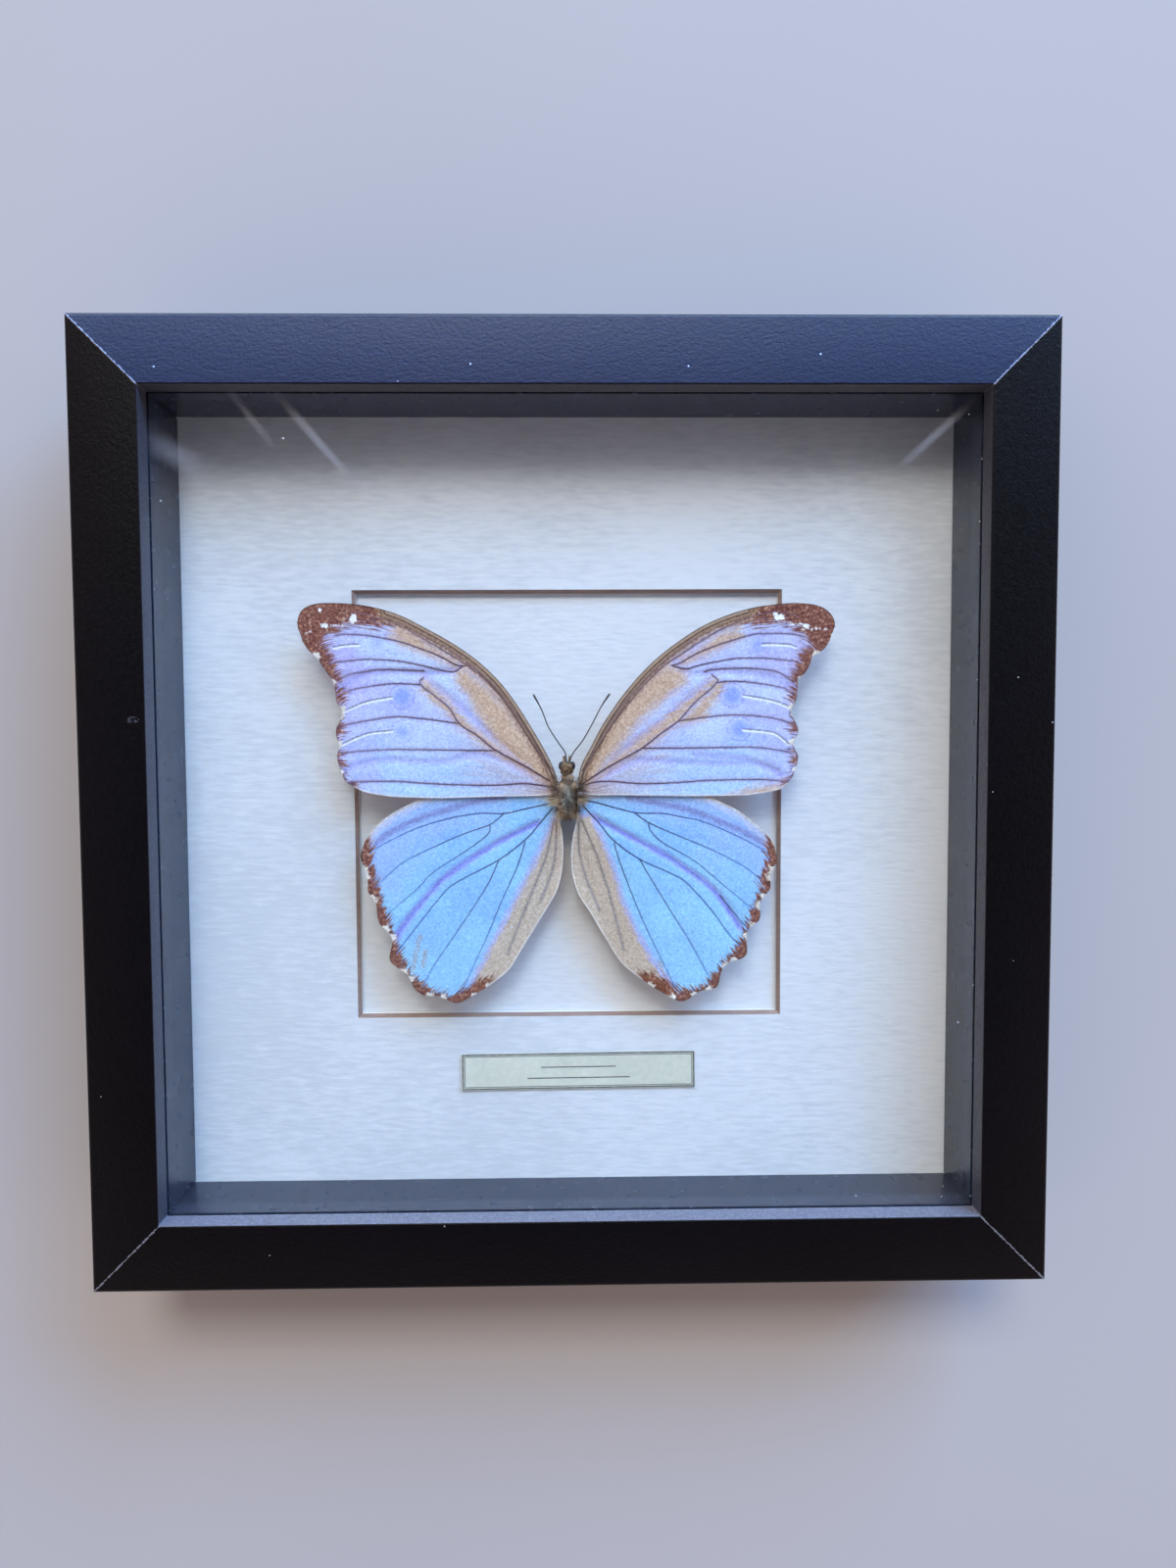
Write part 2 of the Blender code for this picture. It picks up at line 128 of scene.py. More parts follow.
def scattered(tree, place, scale, smallest, largest, rarity):
    """A mask of round specks: at most one in each cell of this scale, kept where its chance is above the rarity."""
    cells = add(tree, "ShaderNodeTexVoronoi", {"Vector": place, "Scale": scale, "Randomness": 1.0})
    chances = add(tree, "ShaderNodeSeparateColor", {0: cells.outputs["Color"]})
    size = add(tree, "ShaderNodeMapRange", {0: chances.outputs[1], 3: smallest, 4: largest})
    small = add(tree, "ShaderNodeMath", {0: cells.outputs["Distance"], 1: size}, operation="LESS_THAN")
    few = add(tree, "ShaderNodeMath", {0: chances.outputs[0], 1: rarity}, operation="GREATER_THAN")
    return add(tree, "ShaderNodeMath", {0: small, 1: few}, operation="MULTIPLY")


def black_foil(name, along):
    """PVC foil, printed black and embossed like fine leather: satin, with a little settled dust, and painted reflection
    and light on the lip's inner edge.
    """
    made, tree, shader, place = new_finish(name)
    stretch = (900, 1400, 900) if along == "X" else (1400, 900, 900)
    drawn = add(tree, "ShaderNodeMapping", {"Vector": place, "Scale": stretch})
    wrinkle = add(tree, "ShaderNodeTexNoise", {"Vector": drawn, "Scale": 1.0, "Detail": 5.0, "Roughness": 0.65})
    pebble = add(tree, "ShaderNodeTexNoise", {"Vector": place, "Scale": 1500.0, "Detail": 2.0})
    relief = add(tree, "ShaderNodeMix", {0: 0.35, 2: wrinkle, 3: pebble})
    bump = add(tree, "ShaderNodeBump", {"Height": relief, "Strength": 0.75, "Distance": 0.0002})
    handled = add(tree, "ShaderNodeTexNoise", {"Vector": place, "Scale": 22.0, "Detail": 3.0})
    ink = add(tree, "ShaderNodeValToRGB", {"Fac": handled}, [(0.3, "#020309"), (0.7, "#06070F")])
    gloss = add(tree, "ShaderNodeMapRange", {0: wrinkle, 1: 0.3, 2: 0.7, 3: 0.3, 4: 0.42})
    # The wrap has cracked and rubbed pale along each mitre.
    axes = add(tree, "ShaderNodeSeparateXYZ", {0: place})
    off_x = add(tree, "ShaderNodeMath", {0: axes.outputs["X"]}, operation="ABSOLUTE")
    off_y = add(tree, "ShaderNodeMath", {0: axes.outputs["Y"]}, operation="ABSOLUTE")
    apart = add(tree, "ShaderNodeMath", {0: off_x, 1: off_y}, operation="SUBTRACT")
    from_mitre = add(tree, "ShaderNodeMath", {0: apart}, operation="ABSOLUTE")
    ragged = add(tree, "ShaderNodeMapRange", {0: pebble, 1: 0.35, 2: 0.65, 3: 0.00008, 4: 0.00042})
    worn = add(tree, "ShaderNodeMath", {0: from_mitre, 1: ragged}, operation="LESS_THAN")
    faded = add(tree, "ShaderNodeMath", {0: worn, 1: 0.8}, operation="MULTIPLY")
    ink = add(tree, "ShaderNodeMix", {0: faded, 6: ink, 7: "#9A9CA2"}, data_type="RGBA")
    # The lip's own edge, down to the pane, is painted grey for dust and for the reflection of the pale mat, and its
    # lower side, which faces the lamps, paler still as painted light over dust.
    level = add(tree, "ShaderNodeVectorMath", {0: place, 1: (1, 1, 0)}, operation="MULTIPLY")
    normal = add(tree, "ShaderNodeNewGeometry").outputs["Normal"]
    inward = add(tree, "ShaderNodeVectorMath", {0: normal, 1: level}, operation="DOT_PRODUCT").outputs["Value"]
    inward = add(tree, "ShaderNodeMath", {0: inward, 1: -0.09}, operation="LESS_THAN")
    above = add(tree, "ShaderNodeMath", {0: axes.outputs["Z"], 1: (DEPTH - LIP) * MM}, operation="GREATER_THAN")
    lip = add(tree, "ShaderNodeMath", {0: inward, 1: above}, operation="MULTIPLY")
    lower_lip = (FACE_WIDTH + 0.5 - SIDE / 2) * MM
    low_side = add(tree, "ShaderNodeMath", {0: axes.outputs["Y"], 1: lower_lip}, operation="LESS_THAN")
    grit = add(tree, "ShaderNodeTexNoise", {"Vector": place, "Scale": 1300.0, "Detail": 4.0, "Roughness": 0.7})
    grit = add(tree, "ShaderNodeMapRange", {0: grit, 1: 0.35, 2: 0.65, 3: 0.55, 4: 1.0})
    lip_dust_and_painted_light = add(tree, "ShaderNodeMath", {0: lip, 1: grit}, operation="MULTIPLY")
    # Grey painted reflection with dust on the upper lips; paler painted light with dust on the lower lip.
    dust_and_painted_light = add(tree, "ShaderNodeMix", {0: low_side, 6: "#565A68", 7: "#969AAC"}, data_type="RGBA")
    ink = add(tree, "ShaderNodeMix", {0: lip_dust_and_painted_light, 6: ink, 7: dust_and_painted_light}, data_type="RGBA")
    # A scuff on the left stick, a little above its middle.
    near = add(tree, "ShaderNodeVectorMath", {0: level, 1: (SCUFF[0] * MM, SCUFF[1] * MM, 0)}, operation="SUBTRACT")
    near = add(tree, "ShaderNodeVectorMath", {0: near, 1: (500, 1100, 0)}, operation="MULTIPLY")
    near = add(tree, "ShaderNodeVectorMath", {0: near}, operation="LENGTH").outputs["Value"]
    near = add(tree, "ShaderNodeMapRange", {0: near, 1: 1.0, 2: 0.5})
    scratch = add(tree, "ShaderNodeMapRange", {0: pebble, 1: 0.48, 2: 0.6, 3: 0.0, 4: 0.8})
    scuff = add(tree, "ShaderNodeMath", {0: near, 1: scratch}, operation="MULTIPLY")
    ink = add(tree, "ShaderNodeMix", {0: scuff, 6: ink, 7: "#7C8194"}, data_type="RGBA")
    # A few pale flecks of dust lie on the sticks.
    fleck = scattered(tree, place, 330.0, 0.07, 0.07, 0.93)
    ink = add(tree, "ShaderNodeMix", {0: fleck, 6: ink, 7: "#B9BCC4"}, data_type="RGBA")
    add(tree, shader, {"Base Color": ink, "Roughness": gloss, "Normal": bump, "Specular IOR Level": 0.26})
    return made


foils = {"X": black_foil("embossed_foil_lengthways", "X"), "Y": black_foil("embossed_foil_upright", "Y")}
profile = [(WALL, 0), (WALL, DEPTH - LIP), (FACE_WIDTH, DEPTH - LIP)]
profile += rounded((FACE_WIDTH - INNER_ROUND, DEPTH - INNER_ROUND), INNER_ROUND, 0, 90, 6)
profile += rounded((OUTER_ROUND, DEPTH - OUTER_ROUND), OUTER_ROUND, 90, 180, 8)
profile += rounded((FOOT_ROUND, FOOT_ROUND), FOOT_ROUND, 180, 270, 6)
for side, turn in SIDES.items():
    bpy.ops.object.select_all(action="DESELECT")
    bpy.ops.mesh.primitive_circle_add(vertices=len(profile), fill_type="NGON")
    rail = bpy.context.object
    for corner, (inward, high) in zip(rail.data.vertices, profile):
        corner.co = (-SIDE / 2 * MM, (inward - SIDE / 2) * MM, high * MM)
    bpy.ops.object.mode_set(mode="EDIT")
    bpy.ops.mesh.select_all(action="SELECT")
    for run in (10, SIDE - 20, 10):
        bpy.ops.mesh.extrude_region_move(TRANSFORM_OT_translate={"value": (run * MM, 0, 0)})
    # The mitres leave a hair's width between the sticks.
    for way in (-1, 1):
        bpy.ops.mesh.select_all(action="SELECT")
        cut = {"plane_co": (-way * MITRE_GAP * MM, 0, 0), "plane_no": (way, 1, 0)}
        bpy.ops.mesh.bisect(use_fill=True, clear_outer=True, **cut)
    bpy.ops.mesh.select_all(action="SELECT")
    bpy.ops.mesh.remove_doubles(threshold=1e-6)
    bpy.ops.mesh.normals_make_consistent(inside=False)
    bpy.ops.object.mode_set(mode="OBJECT")
    rail.data.transform(Matrix.Rotation(math.radians(turn), 4, "Z"))
    bpy.ops.object.shade_smooth_by_angle(angle=math.radians(30))
    settle(rail, "foil_rail_" + side, "black_foil", [foils["X" if side in ("top", "bottom") else "Y"]], "rail_" + side)

# ---------------------------------------------------------------------------------------------
# The pane. A sheet of cast acrylic, 1.2 mm thick, pressed up against the lip.
# It carries fine dust, and in its upper corners faint pale streaks that are painted reflections of light.


def turned_place(tree, place, x, y, turn):
    """The place counted from this point of the case, in millimetres, along lines at this turn in degrees."""
    start = {"Vector": place, "Location": (x * MM, y * MM, 0), "Rotation": (0, 0, math.radians(turn))}
    local = add(tree, "ShaderNodeMapping", start, vector_type="TEXTURE")
    return add(tree, "ShaderNodeSeparateXYZ", {0: local})


def clear_acrylic():
    """Acrylic that lets lamps through: crisp reflections, dust specks, and soft pale bands of painted reflection near
    the top.
    """
    made, tree, shader, place = new_finish("cast_acrylic_with_dust_and_painted_reflections")
    add(tree, shader, {"Base Color": "#FAFCFC", "Roughness": 0.0, "IOR": 1.49, "Transmission Weight": 1.0})
    dust_specks_and_painted_reflections = scattered(tree, place, 260.0, 0.015, 0.075, 0.8)
    # Pale streaks of painted reflection, each a soft band: its middle, its turn, its half length and half width, and
    # its strength.
    for x, y, turn, long, wide, strength in (
        (-65.6, 96.8, -49, 22, 1.7, 0.15),
        (-82.4, 102.6, -52, 15, 1.4, 0.1),
        (-101, 92, -32, 13, 4.5, 0.1),
        (96, 97.5, 42, 18, 1.7, 0.13),
    ):
        axes = turned_place(tree, place, x, y, turn)
        band = []
        for axis, half in (("X", long), ("Y", wide)):
            away = add(tree, "ShaderNodeMath", {0: axes.outputs[axis]}, operation="ABSOLUTE")
            fade = add(tree, "ShaderNodeMapRange", {0: away, 1: half * MM, 2: 0.0}, interpolation_type="SMOOTHSTEP")
            band.append(fade)
        soft = add(tree, "ShaderNodeMath", {0: band[0], 1: band[1]}, operation="MULTIPLY")
        soft = add(tree, "ShaderNodeMath", {0: soft, 1: strength}, operation="MULTIPLY")
        dust_specks_and_painted_reflections = add(tree, "ShaderNodeMath", {0: dust_specks_and_painted_reflections, 1: soft}, operation="MAXIMUM")
    # The pale diffuse stands for the dust specks and for the painted reflection in the streaks.
    dust_and_painted_light = add(tree, "ShaderNodeBsdfDiffuse", {"Color": "#D5DAE6"})
    passing = add(tree, "ShaderNodeBsdfTransparent", {"Color": "#F6F9FA"})
    shadow = add(tree, "ShaderNodeLightPath").outputs["Is Shadow Ray"]
    lit = add(tree, "ShaderNodeMixShader", {0: dust_specks_and_painted_reflections, 1: shader, 2: dust_and_painted_light})
    seen = add(tree, "ShaderNodeMixShader", {0: shadow, 1: lit, 2: passing})
    add(tree, tree.nodes["Material Output"], {"Surface": seen})
    return made


dress(clear_acrylic(), "pane")

# ---------------------------------------------------------------------------------------------
# The spacers. Four strips of black plastic that hold the pane off the mat; they line the case.


def black_strip():
    """Extruded polystyrene, satin: black lifted to a blue-grey that paints part of the pale mat's reflection; its walls
    also mirror the pale mat at a glancing look.
    """
    made, tree, shader, place = new_finish("extruded_black_strip")
    draw = add(tree, "ShaderNodeTexNoise", {"Vector": place, "Scale": 300.0, "Detail": 4.0})
    bump = add(tree, "ShaderNodeBump", {"Height": draw, "Strength": 0.06, "Distance": 0.0001})
    # The blue-grey of this black plastic is painted reflection of the pale mat.
    ink = add(tree, "ShaderNodeValToRGB", {"Fac": draw}, [(0.3, "#23293A"), (0.7, "#282F42")])
    gloss = add(tree, "ShaderNodeMapRange", {0: draw, 1: 0.3, 2: 0.7, 3: 0.24, 4: 0.28})
    add(tree, shader, {"Base Color": ink, "Roughness": gloss, "Normal": bump, "IOR": 1.75})
    return made


dress(black_strip(), *("spacer_" + side for side in SIDES))

# ---------------------------------------------------------------------------------------------
# The mat and the card behind it. The mat's face ply is faced with laid pale paper over a brown core,
# and its window is cut at 45 degrees; a white foot ply shows as a thin line. A plain card closes the back.


# How high the brown core and the face paper of the mat start.
CORE_FOOT, FACE_FOOT = 18.08, 19.13


def laid_paper(tree, place, pale, deep):
    """The colour and bump of paper whose fibres lie across the sheet, with a slow cockle."""
    drawn = add(tree, "ShaderNodeMapping", {"Vector": place, "Scale": (190, 900, 900)})
    fibres = add(tree, "ShaderNodeTexNoise", {"Vector": drawn, "Scale": 1.0, "Detail": 4.0, "Roughness": 0.6})
    cockle = add(tree, "ShaderNodeTexNoise", {"Vector": place, "Scale": 14.0, "Detail": 2.0})
    both = add(tree, "ShaderNodeMix", {0: 0.45, 2: fibres, 3: cockle})
    tint = add(tree, "ShaderNodeValToRGB", {"Fac": both}, [(0.42, deep), (0.58, pale)])
    bump = add(tree, "ShaderNodeBump", {"Height": fibres, "Strength": 0.35, "Distance": 0.00025})
    return tint, bump, fibres


def mat_board():
    """Matt cotton board: the cut shows its brown core, then the white foot ply."""
    made, tree, shader, place = new_finish("bevel_cut_mat_board")
    tint, bump, fibres = laid_paper(tree, place, "#E2E3E6", "#D3D5D9")
    height = add(tree, "ShaderNodeSeparateXYZ", {0: place}).outputs["Z"]
    core = add(tree, "ShaderNodeValToRGB", {"Fac": fibres}, [(0.3, "#8F7870"), (0.7, "#A58C80")])
    in_core = add(tree, "ShaderNodeMath", {0: height, 1: CORE_FOOT * MM}, operation="GREATER_THAN")
    in_face = add(tree, "ShaderNodeMath", {0: height, 1: FACE_FOOT * MM}, operation="GREATER_THAN")
    cut = add(tree, "ShaderNodeMix", {0: in_core, 6: "#F2F0EC", 7: core}, data_type="RGBA")
    paint = add(tree, "ShaderNodeMix", {0: in_face, 6: cut, 7: tint}, data_type="RGBA")
    # A few dark specks on the face.
    speck = scattered(tree, place, 110.0, 0.028, 0.028, 0.93)
    paint = add(tree, "ShaderNodeMix", {0: speck, 6: paint, 7: "#55504E"}, data_type="RGBA")
    add(tree, shader, {"Base Color": paint, "Roughness": 0.88, "Normal": bump, "Specular IOR Level": 0.0})
    return made


def pale_card():
    """Uncoated card, matt, with the same laid grain."""
    made, tree, shader, place = new_finish("uncoated_pale_card")
    tint, bump, _ = laid_paper(tree, place, "#E4E4E6", "#D8D9DC")
    add(tree, shader, {"Base Color": tint, "Roughness": 0.9, "Normal": bump, "Specular IOR Level": 0.0})
    return made


dress(mat_board(), "mat_board")
dress(pale_card(), "backing_card")

# ---------------------------------------------------------------------------------------------
# The back. A hardboard panel, eight bending steel tabs and a sawtooth hanger pressed on the panel.


def hardboard():
    """Wet-pressed wood fibre: warm brown, smooth, flecked with short pale and dark fibres."""
    made, tree, shader, place = new_finish("pressed_hardboard")
    fibres = add(tree, "ShaderNodeTexNoise", {"Vector": place, "Scale": 420.0, "Detail": 6.0, "Roughness": 0.7})
    clouds = add(tree, "ShaderNodeTexNoise", {"Vector": place, "Scale": 18.0, "Detail": 3.0})
    both = add(tree, "ShaderNodeMix", {0: 0.4, 2: fibres, 3: clouds})
    tint = add(tree, "ShaderNodeValToRGB", {"Fac": both}, [(0.3, "#5E4129"), (0.5, "#7B5737"), (0.7, "#96714A")])
    bump = add(tree, "ShaderNodeBump", {"Height": fibres, "Strength": 0.4, "Distance": 0.0002})
    add(tree, shader, {"Base Color": tint, "Roughness": 0.62, "Normal": bump})
    return made


def bright_steel():
    """Zinc-plated steel strip: bright, with fine rolling lines and a slight yellow bloom."""
    made, tree, shader, place = new_finish("zinc_plated_steel")
    rolled = add(tree, "ShaderNodeMapping", {"Vector": place, "Scale": (2500, 120, 400)})
    lines = add(tree, "ShaderNodeTexNoise", {"Vector": rolled, "Scale": 1.0, "Detail": 3.0})
    tint = add(tree, "ShaderNodeValToRGB", {"Fac": lines}, [(0.3, "#B3B1A8"), (0.7, "#CFCDC4")])
    gloss = add(tree, "ShaderNodeMapRange", {0: lines, 1: 0.3, 2: 0.7, 3: 0.25, 4: 0.45})
    bump = add(tree, "ShaderNodeBump", {"Height": lines, "Strength": 0.15, "Distance": 0.0001})
    add(tree, shader, {"Base Color": tint, "Metallic": 1.0, "Roughness": gloss, "Normal": bump})
    return made


dress(hardboard(), "back_panel")
dress(bright_steel(), "sawtooth_hanger", *(f"tab_{side}_{number}" for side in SIDES for number in (1, 2)))

# ---------------------------------------------------------------------------------------------
# The label. A slip of greenish paper with a printed double border, glued to the mat by its middle.
# Two ruled lines stand where writing would go.

LABEL_LONG, LABEL_HIGH, LABEL_MIDDLE, LABEL_TURN = 65.8, 10.4, (2.0, -75.4), 0.4


def printed_paper():
    """Wove paper printed in grey-black ink by letterpress, its ink a little uneven."""
    made, tree, shader, place = new_finish("printed_label_paper")
    axes = turned_place(tree, place, *LABEL_MIDDLE, LABEL_TURN)
    grain = add(tree, "ShaderNodeTexNoise", {"Vector": place, "Scale": 700.0, "Detail": 4.0})
    cloud = add(tree, "ShaderNodeTexNoise", {"Vector": place, "Scale": 60.0, "Detail": 2.0})
    both = add(tree, "ShaderNodeMix", {0: 0.5, 2: grain, 3: cloud})
    paper = add(tree, "ShaderNodeValToRGB", {"Fac": both}, [(0.35, "#D0D0BF"), (0.65, "#E0DFCC")])
    off = {}
    for axis, half in (("X", LABEL_LONG / 2), ("Y", LABEL_HIGH / 2)):
        away = add(tree, "ShaderNodeMath", {0: axes.outputs[axis]}, operation="ABSOLUTE")
        off[axis] = add(tree, "ShaderNodeMath", {0: half * MM, 1: away}, operation="SUBTRACT")
    edge = add(tree, "ShaderNodeMath", {0: off["X"], 1: off["Y"]}, operation="MINIMUM")
    ink = None
    # Two frames, by how far in from the edge they start and end, in millimetres.
    for start, end in ((0.12, 0.52), (0.72, 0.95)):
        past = add(tree, "ShaderNodeMapRange", {0: edge, 1: (start - 0.05) * MM, 2: (start + 0.05) * MM})
        before = add(tree, "ShaderNodeMapRange", {0: edge, 1: (end + 0.05) * MM, 2: (end - 0.05) * MM})
        line = add(tree, "ShaderNodeMath", {0: past, 1: before}, operation="MULTIPLY")
        ink = line if ink is None else add(tree, "ShaderNodeMath", {0: ink, 1: line}, operation="MAXIMUM")
    # Two ruled lines, by height and half length.
    for high, half in ((1.1, 10.5), (-2.0, 14.5)):
        height = add(tree, "ShaderNodeMath", {0: axes.outputs["Y"], 1: high * MM}, operation="SUBTRACT")
        height = add(tree, "ShaderNodeMath", {0: height}, operation="ABSOLUTE")
        thin = add(tree, "ShaderNodeMapRange", {0: height, 1: 0.22 * MM, 2: 0.1 * MM})
        aside = add(tree, "ShaderNodeMath", {0: axes.outputs["X"]}, operation="ABSOLUTE")
        short = add(tree, "ShaderNodeMath", {0: aside, 1: half * MM}, operation="LESS_THAN")
        line = add(tree, "ShaderNodeMath", {0: thin, 1: short}, operation="MULTIPLY")
        ink = add(tree, "ShaderNodeMath", {0: ink, 1: line}, operation="MAXIMUM")
    uneven = add(tree, "ShaderNodeMapRange", {0: grain, 1: 0.3, 2: 0.6, 3: 0.72, 4: 0.95})
    ink = add(tree, "ShaderNodeMath", {0: ink, 1: uneven}, operation="MULTIPLY")
    paint = add(tree, "ShaderNodeMix", {0: ink, 6: paper, 7: "#3E403F"}, data_type="RGBA")
    bump = add(tree, "ShaderNodeBump", {"Height": grain, "Strength": 0.2, "Distance": 0.0001})
    add(tree, shader, {"Base Color": paint, "Roughness": 0.8, "Normal": bump, "Specular IOR Level": 0.0})
    return made


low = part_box("label")[0].z
bpy.ops.object.select_all(action="DESELECT")
bpy.ops.mesh.primitive_grid_add(x_subdivisions=66, y_subdivisions=12, size=1)
label = bpy.context.object
for corner in label.data.vertices:
    x, y = corner.co.x * 2, corner.co.y * 2
    curl = 0.28 * max(0, abs(x) - 0.86) ** 2 / 0.0196 * (0.5 + 0.5 * abs(y))
    ripple = 0.05 * math.sin(x * 9 + 1) * (0.5 + 0.5 * y)
    corner.co = (x * LABEL_LONG / 2 * MM, y * LABEL_HIGH / 2 * MM, (0.22 + curl + ripple) * MM)
slip = label.modifiers.new("paper", "SOLIDIFY")
slip.thickness, slip.offset = 0.14 * MM, -1
bpy.ops.object.modifier_apply(modifier="paper")
label.location = (LABEL_MIDDLE[0] * MM, LABEL_MIDDLE[1] * MM, low)
label.rotation_euler.z = math.radians(LABEL_TURN)
settle(label, "paper_label", "label_paper", [printed_paper()], "label")

# ---------------------------------------------------------------------------------------------
# The mounting block. A plug of white foam, glued to the card, that the thorax is pinned to.


def foam():
    """Expanded polyethylene: matt, with open cells about half a millimetre wide."""
    made, tree, shader, place = new_finish("white_foam_plug")
    cells = add(tree, "ShaderNodeTexVoronoi", {"Vector": place, "Scale": 1700.0, "Randomness": 1.0})
    tint = add(tree, "ShaderNodeValToRGB", {"Fac": cells}, [(0.0, "#B9B4A8"), (0.5, "#E3E0D8")])
    bump = add(tree, "ShaderNodeBump", {"Height": cells, "Strength": 0.6, "Distance": 0.0003})
    add(tree, shader, {"Base Color": tint, "Roughness": 0.95, "Normal": bump})
    return made


dress(foam(), "mounting_block")

# ---------------------------------------------------------------------------------------------
# The thorax. The dried body, narrow and hairy: long bristles lie back over it, grey and brown, with
# a pale collar, and fans of pale hair spread over the roots of the wings.

BODY_X = -0.6
chance = np.random.default_rng(11)


def spikes(roots, ways, lengths, widths, droop=0.15):
    """Tapered three-sided hairs that bend down a little: their points, seven for each, and their faces."""
    roots, ways = np.asarray(roots, float), np.asarray(ways, float)
    lengths, widths = np.broadcast_to(lengths, len(roots)), np.broadcast_to(widths, len(roots))
    ways = ways / np.linalg.norm(ways, axis=1)[:, None]
    across = np.cross(ways, (0.02, 0.01, 1.0))
    across /= np.linalg.norm(across, axis=1)[:, None]
    over = np.cross(ways, across)
    points = []
    for share, thick in ((0.0, 0.8), (0.5, 1.0)):
        middle = roots + ways * (lengths * share)[:, None]
        middle[:, 2] -= droop * lengths * share**2
        for angle in (0, 120, 240):
            out = across * math.cos(math.radians(angle)) + over * math.sin(math.radians(angle))
            points.append(middle + out * (widths * thick / 2)[:, None])
    tip = roots + ways * lengths[:, None]
    tip[:, 2] -= droop * lengths
    points = np.stack(points + [tip], axis=1).reshape(-1, 3)
    one = [(0, 2, 1), (0, 1, 4, 3), (1, 2, 5, 4), (2, 0, 3, 5), (3, 4, 6), (4, 5, 6), (5, 3, 6)]
    faces = [[7 * i + k for k in face] for i in range(len(roots)) for face in one]
    return points, faces


def give(mesh, **values):
    """Sets numbers at the points of the mesh under each name: one for all of them, or one for each."""
    for name, numbers in values.items():
        numbers = np.array(np.broadcast_to(numbers, len(mesh.vertices)), np.float32)
        mesh.attributes.new(name, "FLOAT", "POINT").data.foreach_set("value", numbers)


def mesh_piece(points, faces, values, finish=0):
    """A mesh object from points in millimetres, with one number for each point under each name."""
    mesh = bpy.data.meshes.new("mesh")
    mesh.from_pydata((np.asarray(points) * MM).tolist(), [], faces)
    give(mesh, **values)
    mesh.polygons.foreach_set("material_index", [finish] * len(mesh.polygons))
    obj = bpy.data.objects.new("mesh", mesh)
    bpy.context.scene.collection.objects.link(obj)
    return obj


def joined(finishes, *objects):
    """One mesh of them all; every part already counts its finishes in this order."""
    for obj in objects:
        wear(obj, finishes)
    select_only(*objects)
    bpy.ops.object.join()
    return bpy.context.object


def insect_hair():
    """Dry insect hair: matt, each bristle its own shade, from near black to straw, some of them blue-grey."""
    made, tree, shader, place = new_finish("dry_insect_hair")
    tone = add(tree, "ShaderNodeAttribute", attribute_name="tone").outputs["Fac"]
    cold = add(tree, "ShaderNodeAttribute", attribute_name="cold").outputs["Fac"]
    mottle = add(tree, "ShaderNodeTexNoise", {"Vector": place, "Scale": 900.0, "Detail": 3.0})
    mixed = add(tree, "ShaderNodeMix", {0: 0.25, 2: tone, 3: mottle})
    straw = [(0.1, "#1C1311"), (0.35, "#644735"), (0.6, "#A98663"), (0.9, "#F0DDBB")]
    ash = [(0.1, "#1A1917"), (0.45, "#6E6A62"), (0.9, "#D0CBBE")]
    warm = add(tree, "ShaderNodeValToRGB", {"Fac": mixed}, straw)
    grey = add(tree, "ShaderNodeValToRGB", {"Fac": mixed}, ash)
    paint = add(tree, "ShaderNodeMix", {0: cold, 6: warm, 7: grey}, data_type="RGBA")
    add(tree, shader, {"Base Color": paint, "Roughness": 0.7, "Specular IOR Level": 0.3})
    return made


def square_off(along):
    """How much fuller than a ball the body is, from its tail at -1 to its neck at 1."""
    return np.clip((1 - np.abs(along) ** 3) ** (1 / 3) / np.sqrt(1.0001 - along**2), 1, 1.5)


hair = insect_hair()
thorax_middle, thorax_half = np.array((BODY_X, 2.8, 28.2)), np.array((2.2, 5.4, 2.7))
bpy.ops.object.select_all(action="DESELECT")
bpy.ops.mesh.primitive_uv_sphere_add(segments=40, ring_count=28, radius=1)
core = bpy.context.object
for corner in core.data.vertices:
    x, y, z = corner.co
    full = square_off(y) * (1 + 0.05 * math.sin(9 * y))
    corner.co = Vector(thorax_middle + thorax_half * np.array((x * full, y, z * full))) * MM
give(core.data, tone=0.22, cold=0.3)
count = 6200
around = chance.uniform(0, 2 * math.pi, count)
along = chance.uniform(-0.98, 0.98, count)
ring = np.sqrt(1 - along**2)
normal = np.column_stack([ring * np.cos(around), along, ring * np.sin(around)])
full = square_off(along)
roots = thorax_middle + thorax_half * normal * 0.97 * np.column_stack([full, np.ones(count), full])
lie_back = np.where(roots[:, 1] > 7.2, 0.5, -1.0)
ways = normal * 0.55 + np.column_stack([np.zeros(count), lie_back, np.zeros(count)])
ways += chance.normal(0, 0.28, (count, 3))
off_middle = np.hypot((roots[:, 0] - BODY_X) / 1.9, (roots[:, 1] - 2.6) / 4.4)
cold = np.clip(1.6 - 1.3 * off_middle, 0, 1)
tone = 0.5 + chance.normal(0, 0.14, count)
# The coat lies in clumps, some dark to the root and some pale: where, how wide, and how much darker or lighter.
clumps = [
    (-3.6, 4.8, 0.8, -0.5), (-0.5, 0.6, 0.6, -0.55), (-1.3, 4.4, 0.45, -0.4), (-2.6, 1.4, 0.4, -0.4),
    (1.7, 4.8, 0.7, -0.5), (2.0, -0.2, 0.6, -0.45), (-0.5, -3.0, 0.6, -0.5), (-3.3, -0.2, 0.6, -0.45),
    (-1.3, 6.1, 0.9, 0.35), (0.7, 6.5, 0.8, 0.35), (0.3, 3.5, 0.8, 0.3), (-1.8, 2.7, 0.6, 0.25),
    (-2.5, -1.9, 0.7, 0.35), (0.7, -1.9, 0.7, 0.35), (0.4, 1.6, 0.4, -0.3), (-0.6, 2.3, 0.35, -0.3),
]
clumps += zip(
    chance.uniform(-3.2, 2, 70), chance.uniform(-3, 8.5, 70), chance.uniform(0.25, 0.5, 70), chance.normal(0, 0.28, 70)
)
